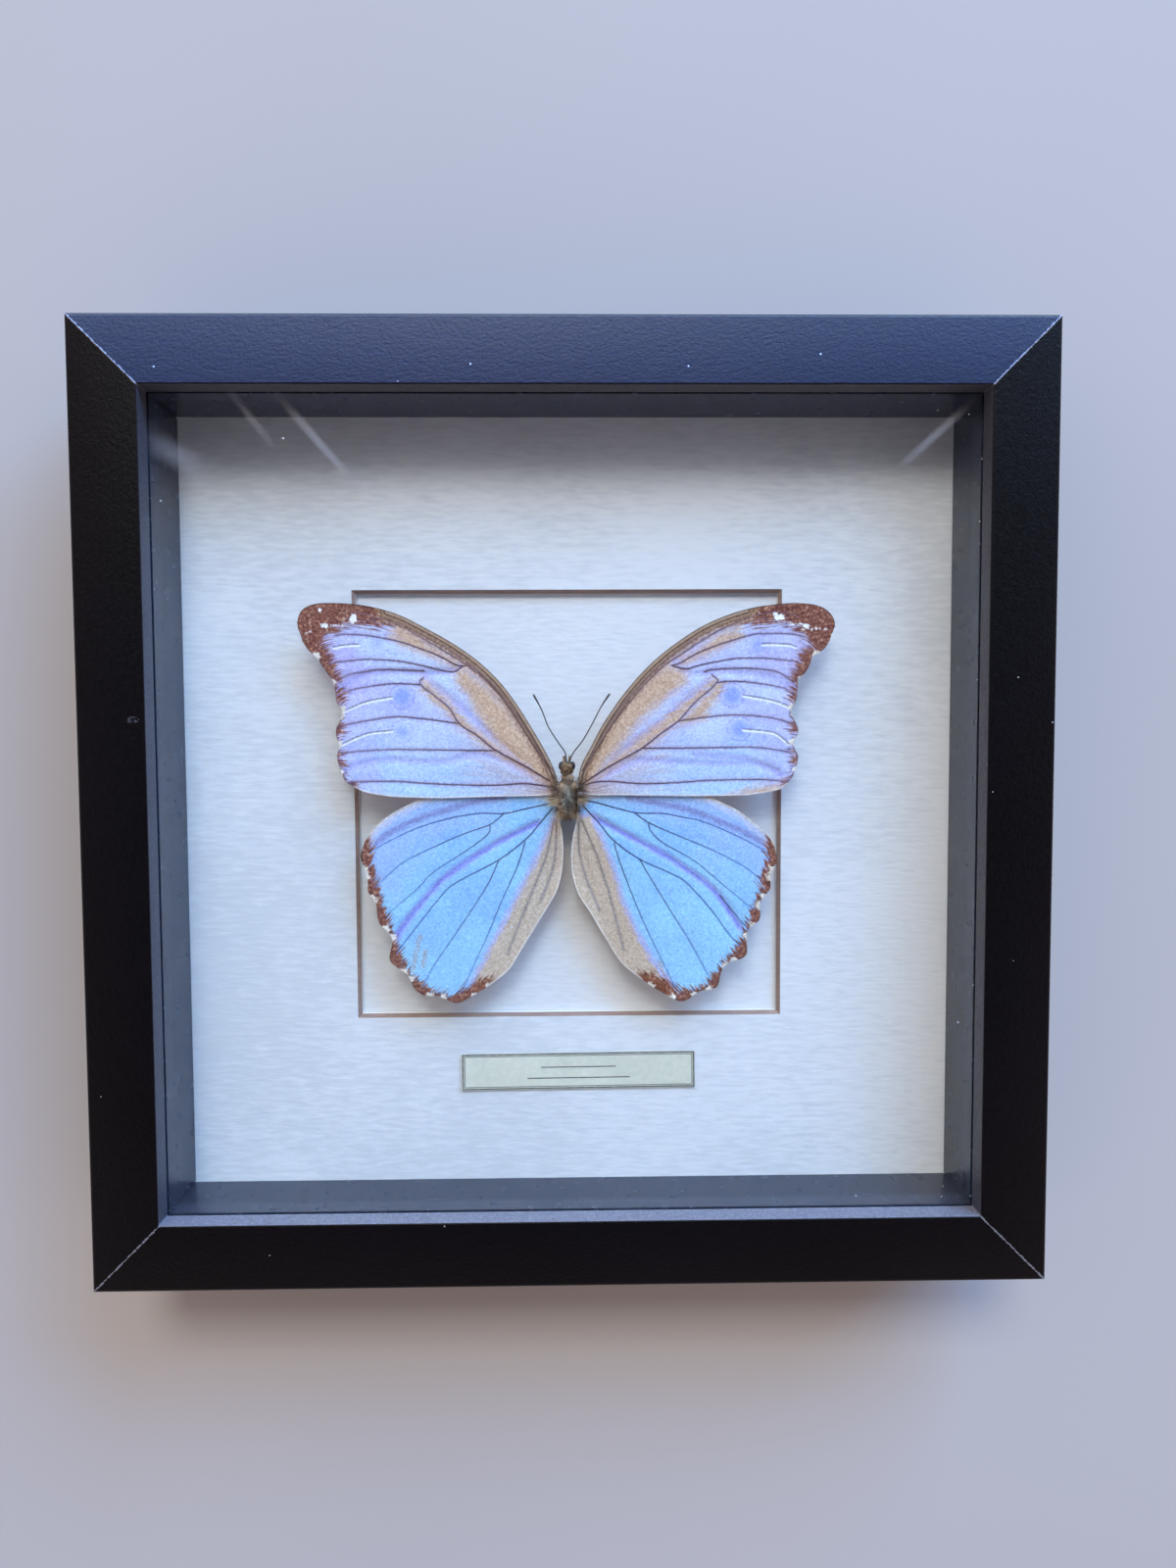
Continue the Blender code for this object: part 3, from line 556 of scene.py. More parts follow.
for x, y, reach, change in clumps:
    tone += change * np.exp(-((roots[:, 0] - x) ** 2 + (roots[:, 1] - y) ** 2) / reach**2)
points, faces = spikes(roots, ways, chance.uniform(0.6, 1.5, count), chance.uniform(0.07, 0.13, count))
coat = mesh_piece(points, faces, {"tone": np.repeat(tone, 7), "cold": np.repeat(cold, 7)})
# The fans at the wing roots: start, direction, spread, length, tone and number of hairs.
fans = []
for side in (-1, 1):
    for x, y, way, spread, long, shade, number in (
        (2.9, 2.0, (1, 0.1), 0.5, 4.0, 0.98, 75),
        (2.7, 1.0, (1, 0.05), 0.35, 3.6, 0.85, 34),
        (2.6, 3.2, (1, -0.12), 0.3, 4.8, 0.25, 26),
        (2.4, 4.6, (1, 0.35), 0.8, 4.4, 0.15, 44),
        (2.4, 6.2, (0.8, 0.9), 0.5, 3.6, 0.3, 40),
        (2.2, -0.2, (0.9, -0.6), 0.7, 3.2, 0.3, 44),
        (1.8, -1.6, (0.6, -1), 0.6, 3.4, 0.75, 60),
        (0.6, -2.4, (0.1, -1), 0.6, 1.5, 0.5, 80),
    ):
        start = np.array((BODY_X + side * x, y, 28.6 if y > 2 else 27.9))
        starts = start + chance.normal(0, (0.35, 0.45, 0.3), (number, 3))
        aims = np.array((side * way[0], way[1], 0.1)) + chance.normal(0, spread / 2, (number, 3)) * (1, 1, 0.5)
        points, faces = spikes(starts, aims, chance.uniform(0.4, 1.0, number) * long, 0.08, droop=0.05)
        shades = np.repeat(shade + chance.normal(0, 0.2, number), 7)
        fans.append(mesh_piece(points, faces, {"tone": shades, "cold": 0}))
thorax = joined([hair], core, coat, *fans)
settle(thorax, "hairy_thorax", "body_hair", [hair], "thorax")

# ---------------------------------------------------------------------------------------------
# The head. A small brown face between two dark domed eyes, with a ring of scales on its crown,
# and two short palps in front.


def eye_horn():
    """Dried compound eye: dark, glossy, its facets a fine net, reddish brown where it thins."""
    made, tree, shader, place = new_finish("dried_compound_eye")
    facets = add(tree, "ShaderNodeTexVoronoi", {"Vector": place, "Scale": 6000.0, "Randomness": 0.3})
    tint = add(tree, "ShaderNodeValToRGB", {"Fac": facets}, [(0.1, "#15100F"), (0.6, "#2C1E1B")])
    bump = add(tree, "ShaderNodeBump", {"Height": facets, "Strength": 0.3, "Distance": 0.0001})
    add(tree, shader, {"Base Color": tint, "Roughness": 0.25, "Normal": bump, "Coat Weight": 0.3})
    return made


head_at = np.array((-0.8, 10.5, 28.4))
lumps = [(head_at, (1.9, 1.75, 1.6), 0.55, 0)]
for side in (-1, 1):
    lumps.append((head_at + (side * 1.45, 0.65, 0.1), (0.85, 1.2, 1.15), 0.1, 1))
    lumps.append((head_at + (side * 0.72, 2.3, -0.1), (0.3, 1.15, 0.35), 0.5, 0))
made_lumps = []
for middle, half, shade, slot in lumps:
    bpy.ops.object.select_all(action="DESELECT")
    bpy.ops.mesh.primitive_uv_sphere_add(segments=28, ring_count=18, radius=1)
    lump = bpy.context.object
    for corner in lump.data.vertices:
        corner.co = Vector(middle + np.array(half) * np.array(corner.co)) * MM
    bpy.ops.object.shade_smooth()
    give(lump.data, tone=shade, cold=0)
    lump.data.polygons.foreach_set("material_index", [slot] * len(lump.data.polygons))
    made_lumps.append(lump)
count = 1500
around = chance.uniform(0, 2 * math.pi, count)
high = chance.uniform(0.1, 0.98, count)
ring = np.sqrt(1 - high**2)
normal = np.column_stack([ring * np.cos(around), ring * np.sin(around), high])
roots = head_at + np.array((1.85, 1.7, 1.55)) * normal
# The scales turn about a dark point on the crown, inside a dark ring, and leave the eyes bare.
crown = np.array((-1.0, 9.75))
off_x, off_y = (roots[:, :2] - crown).T
away = np.hypot(off_x, off_y)
tone = 0.6 + chance.normal(0, 0.12, count) - 0.6 * np.exp(-((away / 0.35) ** 2))
tone -= 0.3 * np.exp(-(((away - 1.2) / 0.25) ** 2))
keep = (np.abs(roots[:, 0] - head_at[0]) < 1.35) | (roots[:, 1] < 9.9)
turning = np.column_stack([-off_y, off_x, 0 * away]) * 0.5
ways = normal * 0.5 + turning + chance.normal(0, 0.2, (count, 3))
points, faces = spikes(roots[keep], ways[keep], chance.uniform(0.3, 0.7, keep.sum()), 0.09)
scales = mesh_piece(points, faces, {"tone": np.repeat(tone[keep], 7), "cold": 0})
# Longer hairs on the palps and behind the face.
number = 260
side = chance.choice((-1, 1), number)
starts = head_at + np.column_stack([
    side * 0.72 + chance.normal(0, 0.14, number), chance.uniform(1.4, 3.1, number), chance.uniform(-0.2, 0.25, number)
])
aims = np.column_stack([
    side * 0.15 + chance.normal(0, 0.25, number), np.ones(number), chance.normal(0.1, 0.25, number)
])
points, faces = spikes(starts, aims, chance.uniform(0.3, 0.8, number), 0.08)
shades = np.repeat(0.45 + chance.normal(0, 0.15, number), 7)
whiskers = mesh_piece(points, faces, {"tone": shades, "cold": 0})
finishes = [hair, eye_horn()]
head = joined(finishes, *made_lumps, scales, whiskers)
settle(head, "head_with_eyes", "body_hair", finishes, "head")

# ---------------------------------------------------------------------------------------------
# The antennae. Threads of dark horn, ringed all the way and swollen a little to a slim club.


def curve_through(points, steps):
    """A smooth curve through the points, with this many steps between each pair."""
    p = np.array(points, float)
    q = np.vstack([2 * p[:1] - p[1:2], p, 2 * p[-1:] - p[-2:-1]])
    t = np.linspace(0, 1, steps, endpoint=False)[:, None]
    h00, h10, h11 = 2 * t**3 - 3 * t**2 + 1, t**3 - 2 * t**2 + t, t**3 - t**2
    fours = zip(q, q[1:], q[2:], q[3:])
    runs = [h00 * b + h10 * (c - a) / 2 + (1 - h00) * c + h11 * (d - b) / 2 for a, b, c, d in fours]
    return np.vstack(runs + [p[-1:]])


def evenly(curve, count):
    """The same curve with its points spaced evenly."""
    along = np.concatenate([[0], np.cumsum(np.linalg.norm(np.diff(curve, axis=0), axis=1))])
    wanted = np.linspace(0, along[-1], count)
    return np.column_stack([np.interp(wanted, along, curve[:, k]) for k in range(curve.shape[1])])


def tube(path, radii, sides=6):
    """A closed tube along the path: its points and faces."""
    path = np.asarray(path, float)
    radii = np.broadcast_to(radii, len(path))
    ways = np.gradient(path, axis=0)
    ways /= np.linalg.norm(ways, axis=1)[:, None]
    across = np.cross(ways, (0.01, 0.02, 1.0))
    across /= np.linalg.norm(across, axis=1)[:, None]
    over = np.cross(ways, across)
    turns = np.arange(sides) * 2 * math.pi / sides
    rings = path[:, None] + radii[:, None, None] * (
        across[:, None] * np.cos(turns)[None, :, None] + over[:, None] * np.sin(turns)[None, :, None]
    )
    faces = [list(range(sides))[::-1], [(len(path) - 1) * sides + k for k in range(sides)]]
    for i in range(len(path) - 1):
        for k in range(sides):
            n = (k + 1) % sides
            faces.append([i * sides + k, i * sides + n, (i + 1) * sides + n, (i + 1) * sides + k])
    return rings.reshape(-1, 3), faces


def antenna_horn():
    """Dark brown insect horn, satin, with a paler ring at each joint of the thread."""
    made, tree, shader, place = new_finish("ringed_insect_horn")
    rings = add(tree, "ShaderNodeAttribute", attribute_name="ring").outputs["Fac"]
    fine = add(tree, "ShaderNodeTexNoise", {"Vector": place, "Scale": 2500.0, "Detail": 2.0})
    mixed = add(tree, "ShaderNodeMix", {0: 0.3, 2: rings, 3: fine})
    tint = add(tree, "ShaderNodeValToRGB", {"Fac": mixed}, [(0.2, "#1C1819"), (0.8, "#463C39")])
    add(tree, shader, {"Base Color": tint, "Roughness": 0.45})
    return made


horn = antenna_horn()
ANTENNAE = {
    "left": [(-0.9, 12.2, 29.6), (-1.25, 14.75, 29.8), (-3.25, 17.75, 29.5), (-5.75, 21.75, 29.1),
             (-7.5, 26.25, 28.6), (-9.75, 30.5, 28.2)],
    "right": [(-0.2, 12.2, 29.6), (1, 14.75, 29.8), (3.5, 18, 29.5), (6.25, 22.75, 29), (8.5, 27, 28.5),
              (10.9, 30.6, 28.2)],
}
for side, route in ANTENNAE.items():
    path = evenly(curve_through(route, 12), 240)
    share = np.linspace(0, 1, len(path))
    ringing = 0.5 + 0.5 * np.cos(share * 2 * math.pi * 58)
    club, foot = np.exp(-(((share - 0.95) / 0.09) ** 2)), np.exp(-((share / 0.03) ** 2))
    radii = 0.16 + 0.1 * club + 0.05 * foot + 0.012 * ringing
    radii *= np.sqrt(np.clip((1.005 - share) / 0.02, 0.05, 1))
    points, faces = tube(path, radii, sides=10)
    antenna = mesh_piece(points, faces, {"ring": np.repeat(ringing, 10)})
    select_only(antenna)
    bpy.ops.object.shade_smooth()
    settle(antenna, "antenna_thread_" + side, "antenna_horn", [horn], "antenna_" + side)

# ---------------------------------------------------------------------------------------------
# The forewings. Each is one thin stiff sheet covered in scales, held out by hollow veins that stand
# proud of it, with a soft fold between them and a fringe of scales around the scalloped margin.
# Lengths are in millimetres; a line runs from the root of the wing to its margin.

FOREWINGS = {
    "forewing_left": {
        "top": 27.9,
        "outline": [
            (-3.4, 7.2), (-4.5, 10.7), (-7, 15.8), (-10, 21), (-14.5, 28.2), (-19, 34.1), (-24.5, 39.4), (-30, 43.4),
            (-35, 46.4), (-40, 49.1), (-45, 51.6), (-50, 53.3), (-55, 54.4), (-60, 54.9), (-65, 55), (-68, 54.7),
            (-70.4, 53.8), (-71.8, 52.4), (-72.6, 50), (-72.3, 48.2), (-71.6, 46.4), (-71.2, 44.8), (-69.6, 42.4),
            (-67.6, 40.6), (-66.3, 38.6), (-64.9, 36.4), (-63.2, 34), (-62.8, 31), (-62.4, 28.4), (-61, 26.9),
            (-61.2, 24.5), (-62.7, 21.5), (-62.6, 18.9), (-61.7, 17), (-62.5, 14.5), (-62.2, 11.7), (-61.2, 9),
            (-60.3, 7.3), (-58, 5.6), (-55, 4.3), (-50, 3.3), (-45, 2.9), (-35, 2.6), (-20, 2.9), (-8, 3.1),
            (-3.6, 3.7),
        ],
        "tip": (-72.6, 50),
        "corner": (-58, 5.6),
        "veins": [
            (0.26, [(-5.5, 7), (-11, 10.5), (-20, 15.5), (-25, 19.5), (-29.7, 22.7), (-33, 27.5), (-40, 33.2),
                    (-39.2, 35.2)]),
            (0.2, [(-4, 7.6), (-8, 14.2), (-13, 21.8), (-18, 29.3), (-24, 35.8), (-30, 40), (-35, 43.1), (-40, 46),
                   (-45, 48.9), (-50, 50.7), (-55, 52.2), (-58.5, 52.4)]),
            (0.15, [(-4, 9), (-8.6, 16), (-14, 24.8), (-20, 32.6), (-27, 38.8), (-34, 43.6)]),
            (0.17, [(-26.5, 38.4), (-30, 38.3), (-35, 40.9), (-40, 42.9), (-45, 44.6), (-50, 45.7), (-55, 46.5),
                    (-60, 46.7), (-62.5, 46.5)]),
            (0.17, [(-28.6, 38.1), (-31.2, 36.6), (-35, 37.2), (-40, 38.4), (-45, 39.4), (-50, 39.9), (-55, 40),
                    (-60, 39.5), (-63.2, 39.1)]),
            (0.15, [(-39, 36.9), (-50, 37.3), (-55, 36.7), (-58.5, 36.1), (-61.5, 35)]),
            (0.15, [(-40, 33.2), (-47, 33.5), (-54, 32.7), (-59, 31.7), (-62, 30.4)]),
            (0.15, [(-29.7, 22.7), (-40, 24.1), (-47, 24.6), (-55, 23.5), (-60, 22.5), (-62, 21.6)]),
            (0.15, [(-20, 15.4), (-30, 15.5), (-40, 15.7), (-47.5, 15.8), (-55, 15.5), (-60, 15), (-62, 14.2)]),
            (0.2, [(-5, 5.5), (-12.5, 6.4), (-20, 6), (-31, 6.2), (-40, 6.7), (-47, 7.2), (-55, 7.2), (-60, 6.9)]),
        ],
        "creases": [
            (0.42, [(-31, 37), (-36, 36.2), (-41, 36.3), (-47, 36.5), (-54, 36), (-58.5, 34), (-61.5, 31.5)]),
            (0.3, [(-10, 8.4), (-18, 12.6), (-26, 14.2), (-33, 12.6), (-40, 12.3), (-47, 12.9), (-54, 12.4),
                   (-60.5, 10.6)]),
            (0.22, [(-14, 13.4), (-22, 20.2), (-29, 27), (-38, 34.5)]),
        ],
        "pale": [
            [(-47.7, 29.6), (-54, 28.5), (-57.5, 27.2), (-61, 25.6)],
            [(-47.7, 20.6), (-53.5, 20), (-57.5, 18.7), (-61.4, 16.9)],
            [(-56.2, 43.7), (-60, 43.5), (-63.2, 42.9)],
        ],
        "tan": [
            [(-30.1, 36.5), (-28.2, 37.5), (-25.3, 34.8), (-20.9, 31), (-17, 26), (-12.2, 19), (-8, 12.6), (-5, 8),
             (-7, 7.6),
             (-8.8, 8.6), (-13.7, 12.6), (-18.5, 17), (-20.9, 20), (-24.3, 25.5), (-27.2, 30.5), (-30.1, 34)],
            [(-46, 49.2), (-40, 45.4), (-35, 42.2), (-30.5, 39.2), (-31, 38.6), (-35, 40), (-40, 42.2),
             (-45, 44.2), (-48, 46.5)],
            [(-39.4, 31.6), (-33, 25.8), (-29, 21.6), (-19, 14.4), (-9, 8.4), (-9, 9.4), (-19, 15.6),
             (-28.4, 23.2), (-32.6, 28.2), (-39, 34)],
        ],
        "brown": [
            [(-44, 49.8), (-50, 49), (-56, 49), (-60, 49), (-64, 46), (-65.5, 45.5), (-64.5, 43), (-63.5, 41),
             (-62.8, 39),
             (-61.6, 36), (-61.4, 34), (-63, 33), (-75, 40), (-80, 60), (-44, 60)],
        ],
        "patches": [(-61.9, 31.6, 1.5), (-61.6, 29.6, 1.5), (-62.1, 22.9, 1.2), (-62.2, 20.6, 1.5),
                    (-62.1, 14.1, 1.2), (-62, 12.3, 1.25), (-60.9, 8.4, 0.6), (-58.3, 5.9, 0.7)],
        "notches": [(-67.6, 40.9, 1.0), (-63.4, 33.9, 0.6), (-61, 26.6, 0.9), (-61.1, 24.9, 0.7), (-62, 17.1, 0.8),
                    (-61.4, 9.8, 0.5)],
        "spots": [(-57.8, 50.8, 1.0, 1.3), (-65.3, 49.0, 1.15, 0.6), (-66.5, 53.1, 0.5, 0.7),
                  (-62.8, 49.2, 1.4, 0.22), (-70, 47.3, 1.6, 0.2)],
        "eyes": [(-45, 30, 2.6, 1.0), (-45.2, 20.5, 2.4, 0.6), (-51.5, 44.2, 2.6, 0.5)],
    },
    "forewing_right": {
        "top": 27.9,
        "outline": [
            (2.2, 7.2), (3.1, 11.3), (5.6, 16), (8.5, 21.5), (11.7, 26.4), (15, 30.9), (20, 36.6), (25, 41.2),
            (30, 44.9), (35, 48.1), (40, 50.5), (45, 52.3), (50, 53.6), (55, 54.3), (60, 54.7), (65, 54.4),
            (68, 53.6), (70.2, 52.1), (71.4, 50.2), (71.6, 48.6), (71, 46.9), (70.4, 45.2), (69.2, 43),
            (67.4, 41.4), (65.6, 40.3), (64.8, 38), (63.6, 36), (61.9, 34.4), (61.6, 31.5), (61.2, 28.6), (60, 26.7),
            (60.2, 24.5), (61.7, 21.5), (61.7, 19.5), (60.5, 17.5), (61, 15.5), (61.9, 13.5), (61.5, 11.2), (60.4, 8),
            (58.8, 5.9), (57, 4.5), (50, 3.2), (43, 2.8), (30, 2.8), (15, 3.1), (6, 3.2), (2.4, 3.7),
        ],
        "tip": (71.6, 48.6),
        "corner": (58.8, 5.9),
        "veins": [
            (0.26, [(3, 6), (10, 10.5), (19.5, 15.8), (25, 20), (29.4, 23.1), (34, 28.2), (39.9, 33.5),
                    (38.5, 35.5)]),
            (0.2, [(3, 8), (6.6, 14.6), (12.4, 23.4), (19, 31.6), (25, 37.6), (30, 41), (36, 44.9), (42.4, 48.5),
                   (50, 51.3), (55, 52.3), (58, 52.2), (62, 51)]),
            (0.15, [(3.2, 9.6), (7.4, 17), (13.6, 26.6), (20, 34), (27, 40.4), (34, 45.6)]),
            (0.17, [(27.5, 38.1), (30, 38.8), (35, 41.6), (40, 43.5), (45, 45.1), (50, 46.4), (55, 46.6),
                    (60, 46.4), (63.2, 45.7)]),
            (0.17, [(27.5, 38.1), (31.5, 37.2), (35, 38.1), (40, 39.1), (45, 39.9), (50, 40), (55, 39.8),
                    (60, 39.2), (62, 38.6)]),
            (0.15, [(36.5, 36.4), (38.5, 36.9), (45, 37.3), (50, 37.2), (55, 36.6), (57.5, 35.7), (60.5, 33.6)]),
            (0.15, [(39.9, 33.5), (45, 33.8), (52.5, 33), (57.5, 32), (61, 30.6)]),
            (0.15, [(29.4, 23.1), (37.5, 24.2), (45, 24.7), (52.5, 24.2), (57.5, 23.2), (61, 21.8)]),
            (0.15, [(19.5, 15.8), (30, 15.8), (40, 15.9), (50, 15.9), (57.5, 15), (60.6, 14)]),
            (0.2, [(3, 5.7), (9, 6.9), (20, 6.2), (30, 6.5), (37.5, 7), (50, 7.2), (56, 6.9), (59, 6.4)]),
        ],
        "creases": [
            (0.3, [(31, 36), (36.5, 36), (41, 36.6), (47, 36), (54, 35), (60, 32)]),
            (0.3, [(10, 8.8), (18, 12.4), (28, 12), (38, 11.6), (46, 11.5), (52, 11), (57, 8.6)]),
            (0.2, [(12, 13), (22, 20.8), (30, 27), (37.4, 34)]),
            (0.2, [(34, 14), (40, 13.6), (48, 12.6), (56, 9.4)]),
        ],
        "pale": [
            [(47, 29.7), (55, 28.2), (59.5, 26.5)],
            [(47, 20.5), (52.5, 20), (56, 19.2), (59.5, 16.5)],
            [(52, 43.4), (55, 43.5), (59.4, 43.2), (61.2, 42.6)],
        ],
        "tan": [
            [(28.3, 37.2), (30.8, 36.2), (31.3, 33.8), (26.4, 29.8), (22.4, 27), (18, 22.8), (13.1, 17), (9.1, 12),
             (5.7, 8),
             (4, 6.6), (4.2, 9.5), (9.1, 18.3), (12.6, 24.2), (17.5, 30.2), (22.4, 35.2), (26.4, 38)],
            [(45.6, 48.4), (41, 46), (36, 42.8), (30.5, 39.8), (31, 38.8), (36.2, 41), (41.2, 43.4), (46.5, 46)],
            [(39, 34), (34, 30), (29, 26), (23, 21.4), (16, 15.4), (10, 11.4), (9, 9.6), (19.5, 15.8), (25, 20),
             (29.4, 23.1), (34, 28.2), (40, 33.4)],
            [(30.3, 22.6), (35, 27.4), (40.2, 33), (41.5, 32), (38.2, 28), (36, 24)],
            [(44, 2.6), (50, 4.4), (56, 5.6), (58, 5), (57, 4), (50, 3)],
        ],
        "brown": [
            [(42, 49.6), (49, 49.3), (53, 49), (56, 49.4), (60, 48.6), (62, 46.5), (64, 45), (64.5, 43.5),
             (63, 42.5), (62, 41),
             (62, 39.5), (61, 38), (60.5, 36.5), (59.8, 34.5), (60.5, 33), (62.5, 32), (75, 38), (80, 60), (42, 60)],
        ],
        "patches": [(61.1, 31.6, 1.4), (60.7, 29.5, 1.4), (61.1, 22.9, 1.0), (61.1, 20.7, 1.35), (61.0, 14.6, 1.0),
                    (61.4, 12.6, 1.25), (60.4, 8.4, 0.6), (58.5, 5.9, 0.7)],
        "notches": [(66.6, 40.9, 1.0), (62.4, 34.3, 0.6), (60, 26.6, 0.9), (60.2, 24.8, 0.7), (60.5, 17.4, 0.9),
                    (60.9, 10, 0.5), (70.9, 45.9, 0.45)],
        "spots": [(56.6, 51.0, 1.5, 0.85), (63.9, 48.6, 0.9, 0.65), (67, 47.7, 3.2, 0.2), (55.6, 51.9, 0.7, 0.7),
                  (61.6, 49, 1.6, 0.2)],
        "eyes": [(44, 30, 2.6, 1.0), (46, 21, 2.6, 0.9), (51, 43.5, 2.6, 0.6)],
    },
}


def distance_to(points, lines):
    """How far each point lies from the nearest of these lines."""
    nearest = np.full(len(points), 1e3)
    for line in lines:
        for a, b in zip(line[:-1], line[1:]):
            ab = b - a
            share = np.clip((points - a) @ ab / (ab @ ab + 1e-12), 0, 1)
            nearest = np.minimum(nearest, np.linalg.norm(points - a - share[:, None] * ab, axis=1))
    return nearest


def depth_inside(points, outline):
    """How deep each point lies inside the outline; less than nothing outside it."""
    outline = np.asarray(outline, float)
    inside = np.zeros(len(points), bool)
    for a, b in zip(outline, np.roll(outline, -1, axis=0)):
        crosses = (a[1] > points[:, 1]) != (b[1] > points[:, 1])
        at = (b[0] - a[0]) * (points[:, 1] - a[1]) / (b[1] - a[1] + 1e-12) + a[0]
        inside ^= crosses & (points[:, 0] < at)
    away = distance_to(points, [np.vstack([outline, outline[:1]])])
    return np.where(inside, away, -away)


def deepest(points, discs):
    """How deep each point lies inside the deepest of these ovals, in millimetres."""
    found = np.full(len(points), -9.0)
    for x, y, *half in discs:
        wide, high = half if len(half) == 2 else (half[0], half[0])
        off = np.hypot((points[:, 0] - x) / wide, (points[:, 1] - y) / high)
        found = np.maximum(found, (1 - off) * min(wide, high))
    return found


def make_wing(plan, finishes, measures, droop=None):
    """One wing: a shaped sheet with its thickness, its veins as tapered tubes, and its fringe."""
    outline = plan["outline"]
    tip, corner = outline.index(plan["tip"]), outline.index(plan["corner"])
    lead = evenly(curve_through(outline[: tip + 1], 12), 400)
    margin = evenly(curve_through(outline[tip : corner + 1], 12), 600)
    hind = evenly(curve_through(outline[corner:], 12), 400)[::-1]
    root = evenly(np.array([outline[0], outline[-1]], float), 50)
    veins = [curve_through(line, 6) for _, line in plan["veins"]]
    creases = [(depth, curve_through(line, 6)) for depth, line in plan["creases"]]

    def height(points):
        """How high the sheet lies: it rises to the tip, bulges between its veins and sinks in its creases."""
        x, y = points.T
        z = plan["top"] + 0.8 * (np.abs(x) / 72) ** 2 - 0.12
        z = z + 0.16 * (1 - np.exp(-((distance_to(points, veins) / 2.2) ** 2)))
        for depth, line in creases:
            z = z - depth * np.exp(-((distance_to(points, [line]) / 1.1) ** 2))
        z = z + 0.1 * np.sin(x / 5.1 + y / 9) * np.sin(y / 4.3 - x / 11)
        scallop = distance_to(points, [margin])
        z = z + 0.12 * np.exp(-scallop / 2.5) * np.sin((x - y) / 1.6)
        return z + (droop(points) if droop else 0)

    bpy.ops.object.select_all(action="DESELECT")
    bpy.ops.mesh.primitive_grid_add(x_subdivisions=190, y_subdivisions=130, size=1)
    sheet = bpy.context.object
    mesh = sheet.data
    flat = np.empty(len(mesh.vertices) * 3, np.float32)
    mesh.vertices.foreach_get("co", flat)
    u, v = (flat.reshape(-1, 3)[:, :2] + 0.5).T

    def at(curve, share):
        steps = np.linspace(0, 1, len(curve))
        return np.column_stack([np.interp(share, steps, curve[:, k]) for k in (0, 1)])

    # Between its four edges the sheet is drawn out evenly.
    U, V = u[:, None], v[:, None]
    place = (1 - V) * at(lead, u) + V * at(hind, u) + (1 - U) * at(root, v) + U * at(margin, v)
    place -= (1 - U) * (1 - V) * lead[0] + U * (1 - V) * lead[-1] + (1 - U) * V * hind[0] + U * V * hind[-1]
    solid = np.column_stack([place, height(place)]) * MM
    mesh.vertices.foreach_set("co", solid.astype(np.float32).ravel())
    give(mesh, **measures(place, plan, lead, margin, hind, veins))
    mesh.update()
    if np.mean([face.normal.z for face in mesh.polygons]) < 0:
        mesh.flip_normals()
    select_only(sheet)
    film = sheet.modifiers.new("film", "SOLIDIFY")
    film.thickness, film.offset, film.material_offset, film.material_offset_rim = 0.1 * MM, -1, 1, 0
    bpy.ops.object.modifier_apply(modifier="film")
    bpy.ops.object.shade_smooth_by_angle(angle=math.radians(60))
    parts = [sheet]
    for (width, _), line in zip(plan["veins"], veins):
        path = evenly(line, max(12, int(np.linalg.norm(np.diff(line, axis=0), axis=1).sum() / 0.7)))
        radii = width * np.linspace(0.8, 0.45, len(path))
        points, faces = tube(np.column_stack([path, height(path) + 0.02]), radii)
        dark = np.repeat(np.linspace(0, 1, len(path)), 6)
        parts.append(mesh_piece(points, faces, {"out": dark}, 2))
    # The fringe: scales that stand out from the margin, pale in the notches.
    edge = evenly(margin, int(np.linalg.norm(np.diff(margin, axis=0), axis=1).sum() / 0.11))
    way = np.gradient(edge, axis=0)
    out = np.column_stack([way[:, 1], -way[:, 0]])
    out /= np.linalg.norm(out, axis=1)[:, None]
    middle = np.mean(outline, axis=0)
    out *= np.sign(np.sum(out * (edge - middle), axis=1).mean())
    ways = np.column_stack([out, np.full(len(out), -0.1)]) + chance.normal(0, 0.22, (len(out), 3))
    starts = np.column_stack([edge - out * 0.15, height(edge) - 0.05])
    pale = deepest(edge, plan["notches"]) > -0.35
    reach = chance.uniform(0.25, 0.6, len(edge)) * np.where(pale, 1.0, 0.75)
    points, faces = spikes(starts, ways, reach, 0.14, droop=0.1)
    parts.append(mesh_piece(points, faces, {"cream": np.repeat(pale * 1.0, 7)}, 3))
    return joined(finishes, *parts)


def streaks(tree, sheet_map, stretch, detail):
    """A noise drawn out along the wing, over its own map."""
    drawn = add(tree, "ShaderNodeMapping", {"Vector": sheet_map, "Scale": stretch})
    return add(tree, "ShaderNodeTexNoise", {"Vector": drawn, "Scale": 1.0, "Detail": detail, "Roughness": 0.6})


def paint_layers(tree, paint, layers, noises):
    """Lays colours over each other: what a layer measures, from where to where it fades in, how far which noise
    frays it, its strength and its colours."""
    for key, start, end, fray, noise, strength, codes in layers:
        value = add(tree, "ShaderNodeAttribute", attribute_name=key).outputs["Fac"]
        shaken = add(tree, "ShaderNodeMath", {0: noises[noise], 1: -0.5}, operation="ADD")
        shaken = add(tree, "ShaderNodeMath", {0: shaken, 1: fray, 2: value}, operation="MULTIPLY_ADD")
        reach = {0: shaken, 1: start, 2: end, 3: 0.0, 4: strength}
        mask = add(tree, "ShaderNodeMapRange", reach, interpolation_type="SMOOTHSTEP")
        stops = [(i / (len(codes) - 1), code) for i, code in enumerate(codes)]
        tint = add(tree, "ShaderNodeValToRGB", {"Fac": noises["mottle"]}, stops)
        paint = add(tree, "ShaderNodeMix", {0: mask, 6: paint, 7: tint}, data_type="RGBA")
    return paint


